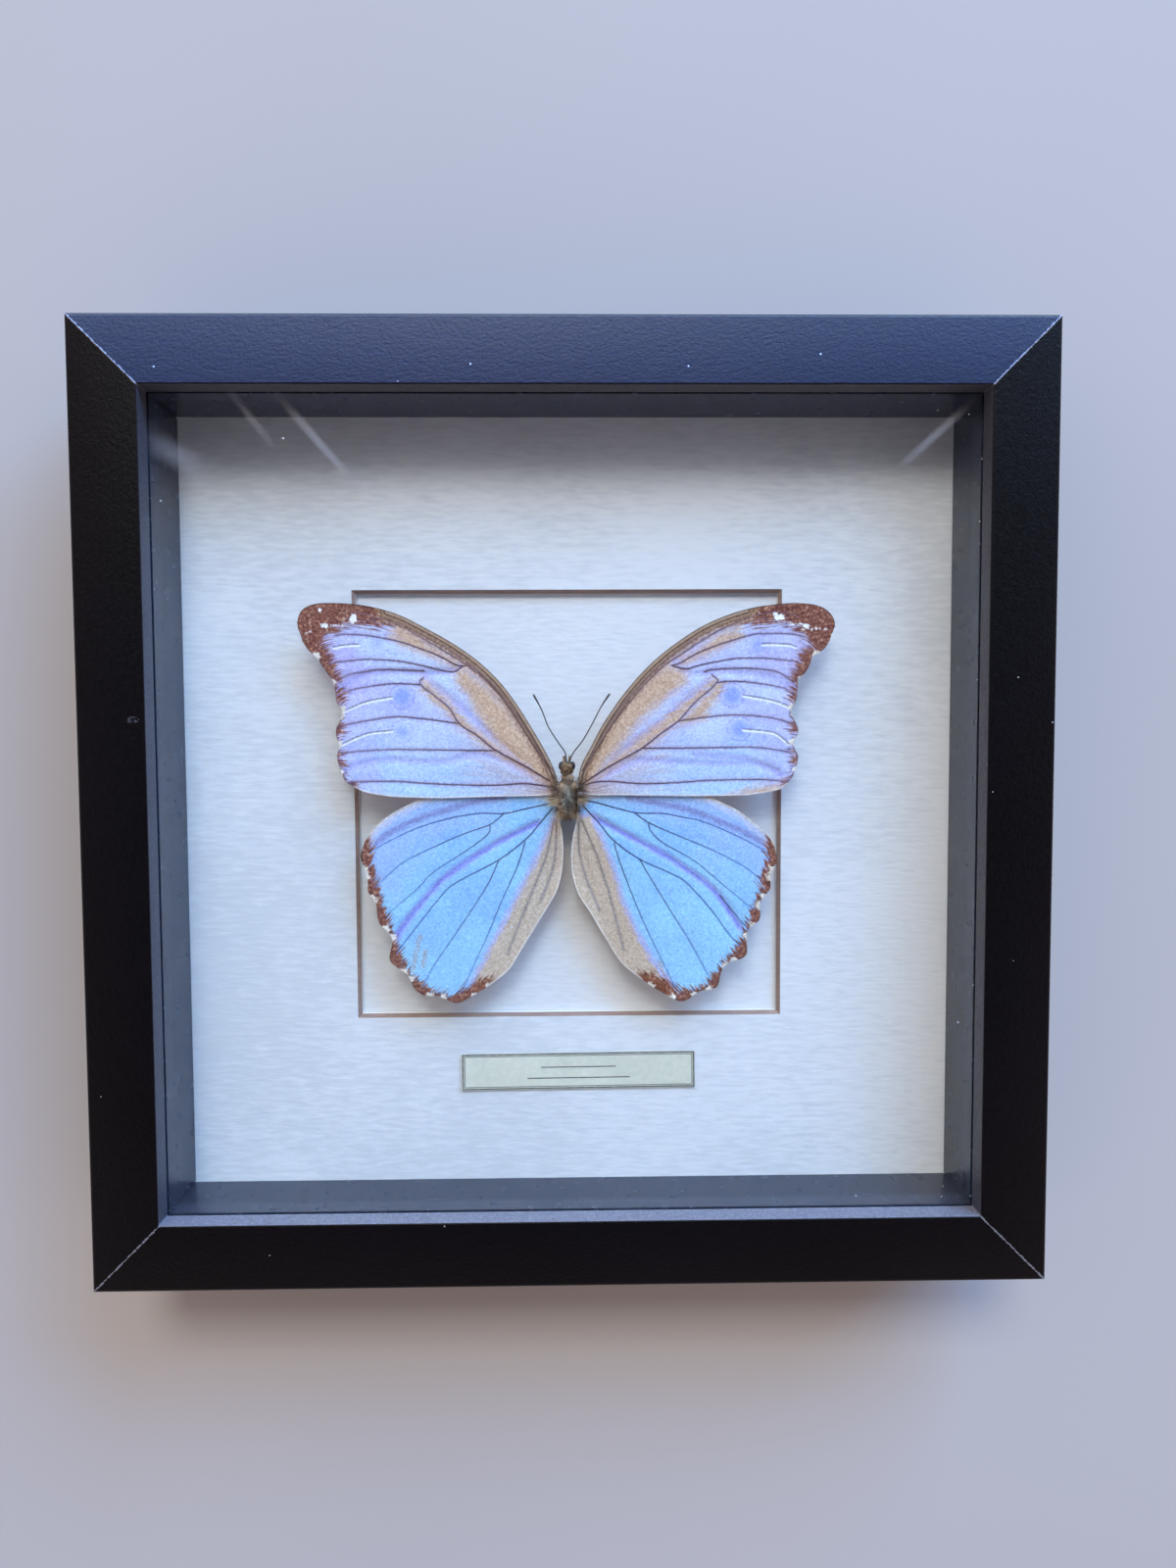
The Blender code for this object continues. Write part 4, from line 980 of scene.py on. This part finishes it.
def wing_noises(tree, place):
    """The patterns that all wing finishes share, each from 0 to 1. Scale rows are drawn as coarse as they show."""
    sheet_map = add(tree, "ShaderNodeUVMap").outputs[0]
    raw = {
        "mottle": add(tree, "ShaderNodeTexNoise", {"Vector": place, "Scale": 1150.0, "Detail": 4.0, "Roughness": 0.75}),
        "fine": add(tree, "ShaderNodeTexNoise", {"Vector": place, "Scale": 2100.0, "Detail": 2.0}),
        "cloud": add(tree, "ShaderNodeTexNoise", {"Vector": place, "Scale": 90.0, "Detail": 3.0}),
        "hairs": streaks(tree, sheet_map, (15, 120, 1), 4.0),
        "rays": streaks(tree, sheet_map, (4, 60, 1), 3.0),
    }
    return {key: add(tree, "ShaderNodeMapRange", {0: noise, 1: 0.32, 2: 0.68}) for key, noise in raw.items()}


def let_through(tree, shader):
    """The dry sheet is thin: a little warm light passes it and tints its shadow."""
    passing = add(tree, "ShaderNodeBsdfTransparent", {"Color": "#FFD6A4"})
    shadow = add(tree, "ShaderNodeLightPath").outputs["Is Shadow Ray"]
    share = add(tree, "ShaderNodeMath", {0: shadow, 1: 0.55}, operation="MULTIPLY")
    seen = add(tree, "ShaderNodeMixShader", {0: share, 1: shader, 2: passing})
    add(tree, tree.nodes["Material Output"], {"Surface": seen})


def scaled_membrane(name, ground, layers):
    """Ridged blue scales on a dry membrane: a silky shine over colour that turns from blue to violet."""
    made, tree, shader, place = new_finish(name)
    noises = wing_noises(tree, place)
    paint = None
    for key, stops in ground:
        tint = add(tree, "ShaderNodeValToRGB", {"Fac": noises[key]}, stops)
        paint = tint if paint is None else add(tree, "ShaderNodeMix", {0: 0.5, 6: paint, 7: tint}, data_type="RGBA")
    paint = paint_layers(tree, paint, layers, noises)
    grain = add(tree, "ShaderNodeMapRange", {0: noises["fine"], 3: 0.84, 4: 1.12})
    paint = add(tree, "ShaderNodeVectorMath", {0: paint, "Scale": grain}, operation="SCALE")
    relief = add(tree, "ShaderNodeMix", {0: 0.5, 2: noises["hairs"], 3: noises["mottle"]})
    bump = add(tree, "ShaderNodeBump", {"Height": relief, "Strength": 0.4, "Distance": 0.0001})
    shine = add(tree, "ShaderNodeMapRange", {0: noises["hairs"], 3: 0.36, 4: 0.52})
    add(tree, shader, {"Base Color": paint, "Roughness": shine, "Normal": bump, "Specular IOR Level": 0.04})
    let_through(tree, shader)
    return made


def wing_underside():
    """The wing's lower scales: dull brown and tan in soft bands across the sheet."""
    made, tree, shader, place = new_finish("brown_under_scales")
    noises = wing_noises(tree, place)
    both = add(tree, "ShaderNodeMix", {0: 0.5, 2: noises["rays"], 3: noises["cloud"]})
    browns = [(0.15, "#6B4F3D"), (0.45, "#8C705A"), (0.62, "#B59C82"), (0.9, "#7A604C")]
    tint = add(tree, "ShaderNodeValToRGB", {"Fac": both}, browns)
    paint = add(tree, "ShaderNodeMix", {0: 0.2, 6: tint, 7: "#8E7C6C"}, data_type="RGBA")
    bump = add(tree, "ShaderNodeBump", {"Height": noises["mottle"], "Strength": 0.3, "Distance": 0.0002})
    add(tree, shader, {"Base Color": paint, "Roughness": 0.6, "Normal": bump, "Specular IOR Level": 0.2})
    let_through(tree, shader)
    return made


def vein_horn(name, near, far):
    """The hollow veins: dark horn under a few scales, paler towards the margin."""
    made, tree, shader, place = new_finish(name)
    out = add(tree, "ShaderNodeAttribute", attribute_name="out").outputs["Fac"]
    mottle = add(tree, "ShaderNodeTexNoise", {"Vector": place, "Scale": 1500.0, "Detail": 2.0})
    mixed = add(tree, "ShaderNodeMix", {0: 0.3, 2: out, 3: mottle})
    tint = add(tree, "ShaderNodeValToRGB", {"Fac": mixed}, [(0.1, near), (0.85, far)])
    add(tree, shader, {"Base Color": tint, "Roughness": 0.5})
    return made


def fringe_scales():
    """Loose scales of the fringe: cream in the notches and dark brown on the lobes."""
    made, tree, shader, place = new_finish("fringe_scales")
    cream = add(tree, "ShaderNodeAttribute", attribute_name="cream").outputs["Fac"]
    mottle = add(tree, "ShaderNodeTexNoise", {"Vector": place, "Scale": 1500.0, "Detail": 2.0})
    pale = add(tree, "ShaderNodeValToRGB", {"Fac": mottle}, [(0.3, "#D8CDBE"), (0.7, "#F4EEE6")])
    dark = add(tree, "ShaderNodeValToRGB", {"Fac": mottle}, [(0.3, "#4A2E28"), (0.7, "#8A5E48")])
    paint = add(tree, "ShaderNodeMix", {0: cream, 6: dark, 7: pale}, data_type="RGBA")
    add(tree, shader, {"Base Color": paint, "Roughness": 0.8})
    return made


def forewing_measures(place, plan, lead, margin, hind, veins):
    """What the finish reads at each point: distances from lines and depths inside areas, in millimetres."""
    rings = [np.abs(np.hypot(place[:, 0] - x, place[:, 1] - y) - r * 1.25) / s for x, y, r, s in plan["eyes"]]
    discs = [s * np.exp(-((np.hypot(place[:, 0] - x, place[:, 1] - y) / r) ** 2)) for x, y, r, s in plan["eyes"]]
    brown = np.max([depth_inside(place, area) for area in plan["brown"]], axis=0)
    creases = [curve_through(line, 6) for _, line in plan["creases"]]
    pale = [curve_through(line, 6) for line in plan["pale"]]
    return {
        "lead": distance_to(place, [lead]),
        "costa": distance_to(place, [lead[:285]]),
        "rim": distance_to(place, [margin]),
        "hind": distance_to(place, [hind]),
        "vein": distance_to(place, veins),
        "crease": distance_to(place, creases),
        "pale": distance_to(place, pale),
        "beside": distance_to(place, [line + (0, 0.42) for line in pale]),
        "tan": np.max([depth_inside(place, area) for area in plan["tan"]], axis=0),
        "brown": np.maximum(brown, deepest(place, plan["patches"])),
        "notch": deepest(place, plan["notches"]),
        "spot": deepest(place, plan["spots"]),
        "disc": np.max(discs, axis=0),
        "ring": np.min(rings, axis=0),
        "near": np.hypot(place[:, 0], place[:, 1] - 5),
        "low": place[:, 1] - 0.12 * np.abs(place[:, 0]),
    }


forewing_layers = [
    ("low", 20, 3, 12, "cloud", 0.75, ["#9CC2F4", "#B0D0F6", "#CCE2F6"]),
    ("rim", 13, 3, 5, "cloud", 0.45, ["#B2A6E2", "#CFC6EE"]),
    ("near", 36, 7, 20, "rays", 0.7, ["#B79C98", "#D2BAB4"]),
    ("near", 13, 3, 8, "rays", 0.8, ["#94705F", "#BC9985"]),
    # The violet in the creases is painted shade, darker where the sheet folds in.
    ("crease", 1.7, 0.2, 1.0, "hairs", 0.5, ["#948ED6", "#B4AEE8"]),
    ("vein", 1.3, 0.1, 1.0, "hairs", 0.4, ["#A192C6", "#BCAEDA"]),
    ("tan", -2.4, 1.3, 3.2, "hairs", 0.95, ["#B59274", "#CDAA8C", "#E0C4A8"]),
    ("disc", 0.12, 0.8, 0.25, "mottle", 0.85, ["#7F92EE", "#9DB2F6"]),
    ("ring", 0.5, 0.0, 0.4, "mottle", 0.5, ["#8884DA", "#A09CE8"]),
    ("pale", 0.5, 0.15, 0.15, "fine", 0.95, ["#E4ECFA", "#FFFFFF"]),
    ("beside", 0.36, 0.12, 0.1, "fine", 0.75, ["#5F5876", "#7C7494"]),
    ("vein", 0.5, 0.15, 0.2, "mottle", 0.55, ["#6A5A78", "#857694"]),
    ("brown", -1.5, 1.0, 4.2, "hairs", 0.97, ["#4C241A", "#733E2C", "#935C44", "#D2AC90"]),
    ("costa", 3.9, 2.5, 2.2, "hairs", 0.9, ["#7E5440", "#A98468", "#D6BCA2"]),
    ("costa", 2.35, 2.15, 0.2, "mottle", 0.7, ["#5A3E34", "#7A5A4A"]),
    ("costa", 2.0, 1.8, 0.2, "mottle", 0.6, ["#9A7A64", "#B99C84"]),
    ("costa", 1.3, 1.1, 0.2, "mottle", 0.85, ["#4C342C", "#664A3E"]),
    ("costa", 0.95, 0.75, 0.2, "mottle", 0.85, ["#A88C76", "#C8AE96"]),
    ("lead", 0.34, 0.12, 0.1, "mottle", 0.9, ["#43302A", "#5E463C"]),
    ("spot", -0.12, 0.2, 0.6, "mottle", 1.0, ["#EFE8E6", "#FFFFFF"]),
    ("rim", 0.5, 0.1, 0.7, "mottle", 0.45, ["#4E3026", "#7C5240"]),
    ("notch", -0.35, 0.25, 0.9, "mottle", 0.95, ["#DED0BC", "#F8F1E6"]),
    ("hind", 0.55, 0.15, 0.4, "mottle", 0.75, ["#D8C8C0", "#F2E8E2"]),
]
forewing_ground = [
    ("mottle", [(0.0, "#A9AEE8"), (0.5, "#C3CAEE"), (1.0, "#E2ECF8")]),
    ("cloud", [(0.1, "#B6B4EA"), (0.9, "#CADDF6")]),
]
upper = scaled_membrane("lavender_wing_scales", forewing_ground, forewing_layers)
under = wing_underside()
fringe = fringe_scales()
forewing_vein = vein_horn("forewing_vein_horn", "#563A30", "#75627A")
for name, plan in FOREWINGS.items():
    finishes = [upper, under, forewing_vein, fringe]
    settle(make_wing(plan, finishes, forewing_measures), "scaled_" + name, "forewing_scales", finishes, name)

# ---------------------------------------------------------------------------------------------
# The hindwings. Broader and bluer, tucked under the forewings, with a fold from the root to the margin, painted purple
# as shade in its groove, a brown scalloped border, and a pale grey inner flap that hangs down beside the body.

HINDWINGS = {
    "hindwing_left": {
        "top": 26.7,
        "outline": [
            (-3.5, 3), (-14, 5.2), (-27, 5.6), (-37, 3.8), (-43.2, 1.1), (-48.6, -1.8), (-52.7, -5), (-55.7, -9.1),
            (-57, -13.4), (-55.6, -17), (-55.1, -20.4), (-55, -23.1), (-53, -26), (-52.3, -31.2), (-49.4, -34.6),
            (-48.8, -37.3), (-49.5, -41.5), (-47.4, -44), (-44.5, -45.9), (-42.9, -49.6), (-40.3, -51.6),
            (-36.6, -51.8), (-31.8, -53.8), (-28.6, -52.8), (-22.3, -49.1), (-17, -44.9), (-13.6, -39.5),
            (-8.2, -30.9), (-3.9, -23.6), (-2.4, -18.2), (-1.9, -12), (-2.3, -6.5), (-3.4, -2.9),
        ],
        "tip": (-55.7, -9.1),
        "corner": (-22.3, -49.1),
        "veins": [
            (0.2, [(-4.1, 1.1), (-11.8, -0.5), (-18, -1.8), (-24.5, -1.7), (-32.7, -3), (-41.8, -5.7),
                   (-50.9, -10), (-54.4, -12.2)]),
            (0.16, [(-18, -1.8), (-21.8, -4.8), (-28.2, -7), (-37.3, -10.9), (-45.5, -15), (-50.9, -19.5),
                    (-53.4, -21.8)]),
            (0.14, [(-21.8, -4.8), (-22.5, -7.5), (-28.2, -11.8), (-37.3, -17.7), (-41.8, -22.3), (-49.8, -29)]),
            (0.22, [(-4.8, -0.5), (-8.2, -4.5), (-11.8, -8.6), (-19.5, -14.5), (-30.9, -20.5), (-35.5, -24.5),
                    (-46.4, -38.2), (-47.6, -40.4)]),
            (0.14, [(-12.3, -9.5), (-14.5, -16.4), (-19.1, -26.4), (-22.3, -34.1), (-27.3, -45), (-30, -51)]),
            (0.14, [(-19.5, -14.5), (-22.7, -21.4), (-28.6, -30.5), (-34.5, -39.1), (-38.2, -44.5), (-40.4, -49.4)]),
            (0.09, [(-4.4, -3.6), (-6.4, -13), (-9.6, -21.4), (-13.6, -31), (-17.4, -40.6)]),
            (0.08, [(-3.8, -4), (-4, -12), (-5.4, -19), (-8.4, -26.5)]),
        ],
        "creases": [
            (0.55, [(-9, -4.6), (-19.1, -9.5), (-24.5, -12.7), (-30.9, -16.8), (-35.5, -20.5), (-40.5, -25.9),
                    (-44.5, -30.9), (-47.7, -35.5)]),
        ],
        "shades": [
            [(-54.1, -10.5), (-48.6, -6.6), (-40.9, -3), (-32.7, -0.5), (-25.9, 1.4), (-18, 2.4)],
        ],
        "worn": [[(-41.2, -35.5), (-42.5, -40.5), (-43.2, -44.8)], [(-39.8, -39.5), (-40.6, -43.5)]],
        "fold": [(-4, -4), (-7.7, -12.3), (-11.8, -20.5), (-16.8, -30.5), (-20.9, -37.7), (-23.6, -43.2),
                 (-26.4, -48.2), (-27, -60), (10, -60), (10, -4)],
        "brown": [
            [(-54.9, -7.6), (-54.4, -9), (-53.6, -12.4), (-54.1, -15.1), (-52.6, -19.9), (-51.7, -22.6),
             (-50.8, -27), (-49.3, -30.1), (-49.3, -32.3), (-48, -35), (-46.7, -38.5), (-45.4, -43.4),
             (-44.6, -44.6), (-41.9, -47.4), (-39.7, -48.7), (-37.5, -50.6), (-33.5, -51.4), (-30.9, -50.9),
             (-28.7, -49.4), (-24.8, -47.2), (-21.2, -47), (-19, -48), (-25, -60), (-65, -60), (-65, -6)],
        ],
        "notches": [(-56, -16.6, 0.7), (-55.6, -18.4, 0.8), (-54, -25, 1.0), (-50.6, -33.4, 0.9),
                    (-49.1, -35.6, 0.8), (-46, -45.3, 0.9), (-44, -47, 0.7), (-38.6, -51.9, 0.7),
                    (-35, -52.4, 0.6), (-26.5, -51.8, 0.6), (-22.4, -49.4, 0.7)],
        "eyes": [(-33.4, -5.7, 2.4, 0.9), (-30.2, -24.5, 2.2, 0.6), (-25, -29.5, 2.2, 0.6)],
    },
    "hindwing_right": {
        "top": 26.7,
        "outline": [
            (2.3, 3), (12, 5.2), (25, 5.6), (34, 4.1), (40.9, 1.1), (45.5, -1.1), (49.1, -3.8), (53.4, -7.4),
            (55.7, -11.1), (56.5, -15.2), (54.7, -19), (54.7, -22.8), (51.9, -26.8), (51.8, -31.2), (48.4, -34.6),
            (48.3, -40.6), (46.2, -42.4), (43.9, -42.9), (41.5, -45.4), (40, -50.1), (35.5, -51.2), (30.9, -53.9),
            (26.6, -52.3), (19.5, -48), (14.1, -43.6), (10, -37.3), (5.5, -29.6), (2.2, -24.4), (0.6, -19),
            (0.2, -14.5), (0.7, -8.5), (2.1, -2.9),
        ],
        "tip": (55.7, -11.1),
        "corner": (19.5, -48),
        "veins": [
            (0.2, [(2.8, 1.6), (6.8, 1.1), (17.5, -1.7), (25, -2), (30.9, -3.1), (36.4, -4.3), (45.5, -8.2),
                   (52.3, -11.8), (54, -13)]),
            (0.16, [(17.5, -1.7), (21.4, -4.5), (29.1, -8), (38.6, -12), (47.7, -16.8), (52.3, -20.5)]),
            (0.14, [(21.4, -4.5), (22, -6.8), (25.5, -10.2), (34.1, -15.2), (40.9, -20.9), (50, -28.6)]),
            (0.22, [(3, 0.8), (8.2, -5), (11.8, -9.3), (18.9, -14.5), (27.3, -18.4), (31.8, -21.1), (38.6, -28.6),
                    (43.2, -35), (46.4, -38.6)]),
            (0.14, [(12, -10), (13.6, -15.5), (17.5, -25.9), (21.4, -35), (27.3, -47.3), (28.6, -50.6)]),
            (0.14, [(18.9, -14.5), (21.8, -19.5), (27.3, -28.6), (32.7, -37.3), (37.3, -45.9), (38.6, -48.4)]),
            (0.16, [(40.9, -24.5), (45, -29.6), (49.1, -34.5)]),
            (0.09, [(3, -3.6), (6.6, -12), (10, -22), (12.4, -31), (14.6, -40)]),
            (0.08, [(2.4, -4), (2.4, -12), (4.4, -20), (8, -29)]),
        ],
        "creases": [
            (0.55, [(7, -3.4), (15.9, -8.2), (21.8, -11.4), (27.3, -14.5), (32.7, -18.2), (38.6, -22.7),
                    (43.2, -28.6), (46.4, -33.6)]),
        ],
        "shades": [
            [(16, 2.2), (25, 0.7), (31.8, -0.9), (38.6, -3.4), (45.5, -6.4), (50.9, -9.1), (54, -11)],
        ],
        "worn": [[(24.5, -43.5), (25.5, -46)]],
        "fold": [(5.5, -3.2), (8.2, -9.5), (11.4, -17.7), (13.6, -25.9), (16.8, -33.6), (20, -39.5), (23.6, -45.5),
                 (26.4, -48.6), (27, -60), (-10, -60), (-10, -3)],
        "brown": [
            [(53.9, -8), (53.4, -11.5), (54, -14.6), (52.9, -17.7), (51.8, -20), (51.6, -23.5), (50.7, -26.7),
             (49.4, -28.5), (49, -31.1), (48.3, -33.4), (46.8, -35.6), (45.9, -37.8), (44.6, -40.1), (43.7, -41.2),
             (41.1, -44.5), (39.4, -46.3), (37, -49.2), (33.9, -50.6), (30, -50.6), (27.9, -49), (23.9, -46.8),
             (20.9, -45.9), (18, -46.2), (22, -60), (65, -60), (65, -8)],
        ],
        "notches": [(55.3, -17.6, 0.8), (54.6, -19.6, 0.7), (53.2, -25.2, 0.9), (51.6, -27.6, 0.7),
                    (50.2, -33.4, 0.9), (48.5, -36, 0.7), (45, -42.9, 0.9), (42.6, -44.4, 0.8), (38, -50.9, 0.7),
                    (34, -52.2, 0.7), (28, -53, 0.6), (22, -49.7, 0.7)],
        "eyes": [(33.4, -5.7, 2.6, 0.9), (30, -24.5, 2.4, 0.6)],
    },
}


def hang(points):
    """The inner flap and its edge droop beside the body."""
    inner = np.clip((14 - np.abs(points[:, 0]) + 0.28 * np.maximum(-points[:, 1], 0)) / 14, 0, 1)
    low = np.clip((2 - points[:, 1]) / 20, 0, 1)
    return -1.9 * inner**1.6 * low


def hindwing_measures(place, plan, lead, margin, hind, veins):
    """The same for a hindwing, whose last two veins are the ribs of its flap."""
    rings = [np.abs(np.hypot(place[:, 0] - x, place[:, 1] - y) - r * 1.15) / s for x, y, r, s in plan["eyes"]]
    brown = np.max([depth_inside(place, area) for area in plan["brown"]], axis=0)
    flap = depth_inside(place, plan["fold"])
    return {
        "lead": distance_to(place, [lead]),
        "rim": distance_to(place, [margin]),
        "hind": distance_to(place, [hind]),
        "vein": distance_to(place, veins[:-2]),
        "rib": distance_to(place, veins[-2:]),
        "crease": distance_to(place, [curve_through(line, 6) for _, line in plan["creases"]]),
        "shade": distance_to(place, [curve_through(line, 6) for line in plan["shades"]]),
        "flap": flap,
        "worn": distance_to(place, [curve_through(line, 6) for line in plan["worn"]]),
        "brown": brown,
        "notch": deepest(place, plan["notches"]),
        "ring": np.min(rings, axis=0),
        "near": np.hypot(place[:, 0], place[:, 1]),
        "low": place[:, 1] + 0.6 * np.abs(place[:, 0]),
    }


hindwing_layers = [
    ("low", 2, 22, 14, "cloud", 0.85, ["#94AEEA", "#B2CAF4"]),
    ("near", 18, 3, 10, "rays", 0.5, ["#7CB0EE", "#B4D6F4"]),
    ("ring", 0.6, 0.05, 0.4, "mottle", 0.4, ["#7E9AE0", "#94AEEC"]),
    # The purple along the fold, deepest at its middle, is painted shade in the groove.
    ("crease", 1.7, 0.5, 0.9, "hairs", 0.6, ["#8E8CDC", "#AAACEE"]),
    ("crease", 0.8, 0.1, 0.6, "hairs", 0.7, ["#7470CC", "#8E8CE0"]),
    ("shade", 1.4, 0.2, 0.9, "hairs", 0.75, ["#7678B0", "#9496CC"]),
    ("vein", 0.42, 0.1, 0.2, "mottle", 0.4, ["#5C78B8", "#7492CC"]),
    ("flap", -2.4, -0.4, 1.6, "hairs", 0.8, ["#AE9ECC", "#CABEDE"]),
    ("flap", -0.7, 0.6, 1.8, "hairs", 1.0, ["#B7A28E", "#CCB8A4", "#DCCCBA"]),
    ("rib", 0.8, 0.1, 0.4, "hairs", 0.5, ["#857466", "#9C8A7C"]),
    ("lead", 2.8, 0.8, 1.6, "hairs", 0.7, ["#C2BCCC", "#DEDAE2"]),
    ("lead", 0.7, 0.3, 0.3, "mottle", 0.8, ["#B39E8C", "#E9E0D4"]),
    ("worn", 1.0, 0.1, 1.6, "mottle", 0.6, ["#A08A7C", "#C4B2A2"]),
    ("brown", -0.9, 0.6, 3.0, "hairs", 0.97, ["#4C241A", "#733E2C", "#935C44", "#D2AC90"]),
    ("rim", 0.5, 0.15, 0.6, "mottle", 0.5, ["#4E3026", "#7C5240"]),
    ("notch", -0.6, 0.15, 1.2, "mottle", 0.95, ["#DED0BC", "#F8F1E6"]),
    ("hind", 0.5, 0.15, 0.3, "mottle", 0.8, ["#E0D4C8", "#F8F2EA"]),
]
hindwing_ground = [
    ("mottle", [(0.0, "#7AB0EC"), (0.5, "#98C8F0"), (1.0, "#BEE4F6")]),
    ("cloud", [(0.1, "#8CBAEE"), (0.9, "#A0D6F2")]),
]
upper = scaled_membrane("sky_blue_wing_scales", hindwing_ground, hindwing_layers)
hindwing_vein = vein_horn("hindwing_vein_horn", "#3A2E36", "#5078BC")
for name, plan in HINDWINGS.items():
    finishes = [upper, under, hindwing_vein, fringe]
    settle(make_wing(plan, finishes, hindwing_measures, hang), "scaled_" + name, "hindwing_scales", finishes, name)

# ---------------------------------------------------------------------------------------------
# The table it lies on, the light and the camera. None of these belongs to the object.

bpy.ops.object.select_all(action="DESELECT")
bpy.ops.mesh.primitive_plane_add(size=8, location=(0, 0, -0.0001))
floor = bpy.context.object
floor.name = "floor"
made, tree, shader, place = new_finish("pale_floor")
slow = add(tree, "ShaderNodeTexNoise", {"Vector": place, "Scale": 3.0, "Detail": 2.0})
tint = add(tree, "ShaderNodeValToRGB", {"Fac": slow}, [(0.3, "#D2D4D8"), (0.7, "#D8DADD")])
add(tree, shader, {"Base Color": tint, "Roughness": 0.85})
floor.data.materials.append(made)


def soft_lamp(name, height_angle, turn, reach, size, power, tint):
    """A soft panel that looks at the middle of the case. Its turn goes from the upper stick to the right one."""
    lamp = bpy.data.objects.new(name, bpy.data.lights.new(name, "AREA"))
    lamp.data.shape = "RECTANGLE"
    lamp.data.size, lamp.data.size_y = size
    lamp.data.energy = power
    lamp.data.color = colour(tint)[:3]
    up, aside = math.radians(height_angle), math.radians(turn)
    way = Vector((math.cos(up) * math.sin(aside), math.cos(up) * math.cos(aside), math.sin(up)))
    lamp.location = way * reach + Vector((0, 0, 0.02))
    lamp.rotation_euler = way.to_track_quat("Z", "Y").to_euler()
    bpy.context.scene.collection.objects.link(lamp)
    return lamp


soft_lamp("window", 53, -8, 3.0, (0.9, 0.69), 29, "#FFF8EE")
soft_lamp("blue_sky", 31, 32, 3.0, (2.4, 1.25), 82, "#82C0FF")
# These two are for the sheen on the upper stick alone: one on its face, one along its outer edge.
upper_stick = bpy.data.collections.new("upper_stick")
upper_stick.objects.link(bpy.data.objects["foil_rail_top"])
soft_lamp("high_sky", 67, 0, 2.0, (3.6, 0.32), 72, "#7096FF").light_linking.receiver_collection = upper_stick
soft_lamp("low_sky", 30, 0, 2.0, (3.6, 1.4), 230, "#A0C4FF").light_linking.receiver_collection = upper_stick

world = bpy.data.worlds.new("room")
bpy.context.scene.world = world
world.use_nodes = True
# The ceiling straight above is dark; the walls of the room are warmer and lighter.
tree = world.node_tree
way = add(tree, "ShaderNodeSeparateXYZ", {0: add(tree, "ShaderNodeTexCoord").outputs["Generated"]})
glow = add(tree, "ShaderNodeMapRange", {0: way.outputs["Z"], 1: 0.76, 2: 0.88, 3: 1.0, 4: 0.04})
add(tree, tree.nodes["Background"], {"Color": "#C2ACA6", "Strength": glow})
bpy.context.scene.view_settings.view_transform = "Standard"

camera = bpy.data.objects.new("camera", bpy.data.cameras.new("camera"))
camera.data.sensor_width = 36
camera.data.lens = 24.95
camera.data.clip_start = 0.01
# It hangs a third of a metre above the case, a little off its middle, and looks almost straight down.
right, up, back = (0.99983, -0.004534, 0.017886), (0.005499, 0.99851, -0.054288), (-0.017614, 0.054377, 0.998365)
camera_place = Matrix.Translation(Vector((-0.29, 22.21, 322.55)) * MM)
camera.matrix_world = camera_place @ Matrix((right, up, back)).transposed().to_4x4()
bpy.context.scene.collection.objects.link(camera)
bpy.context.scene.camera = camera
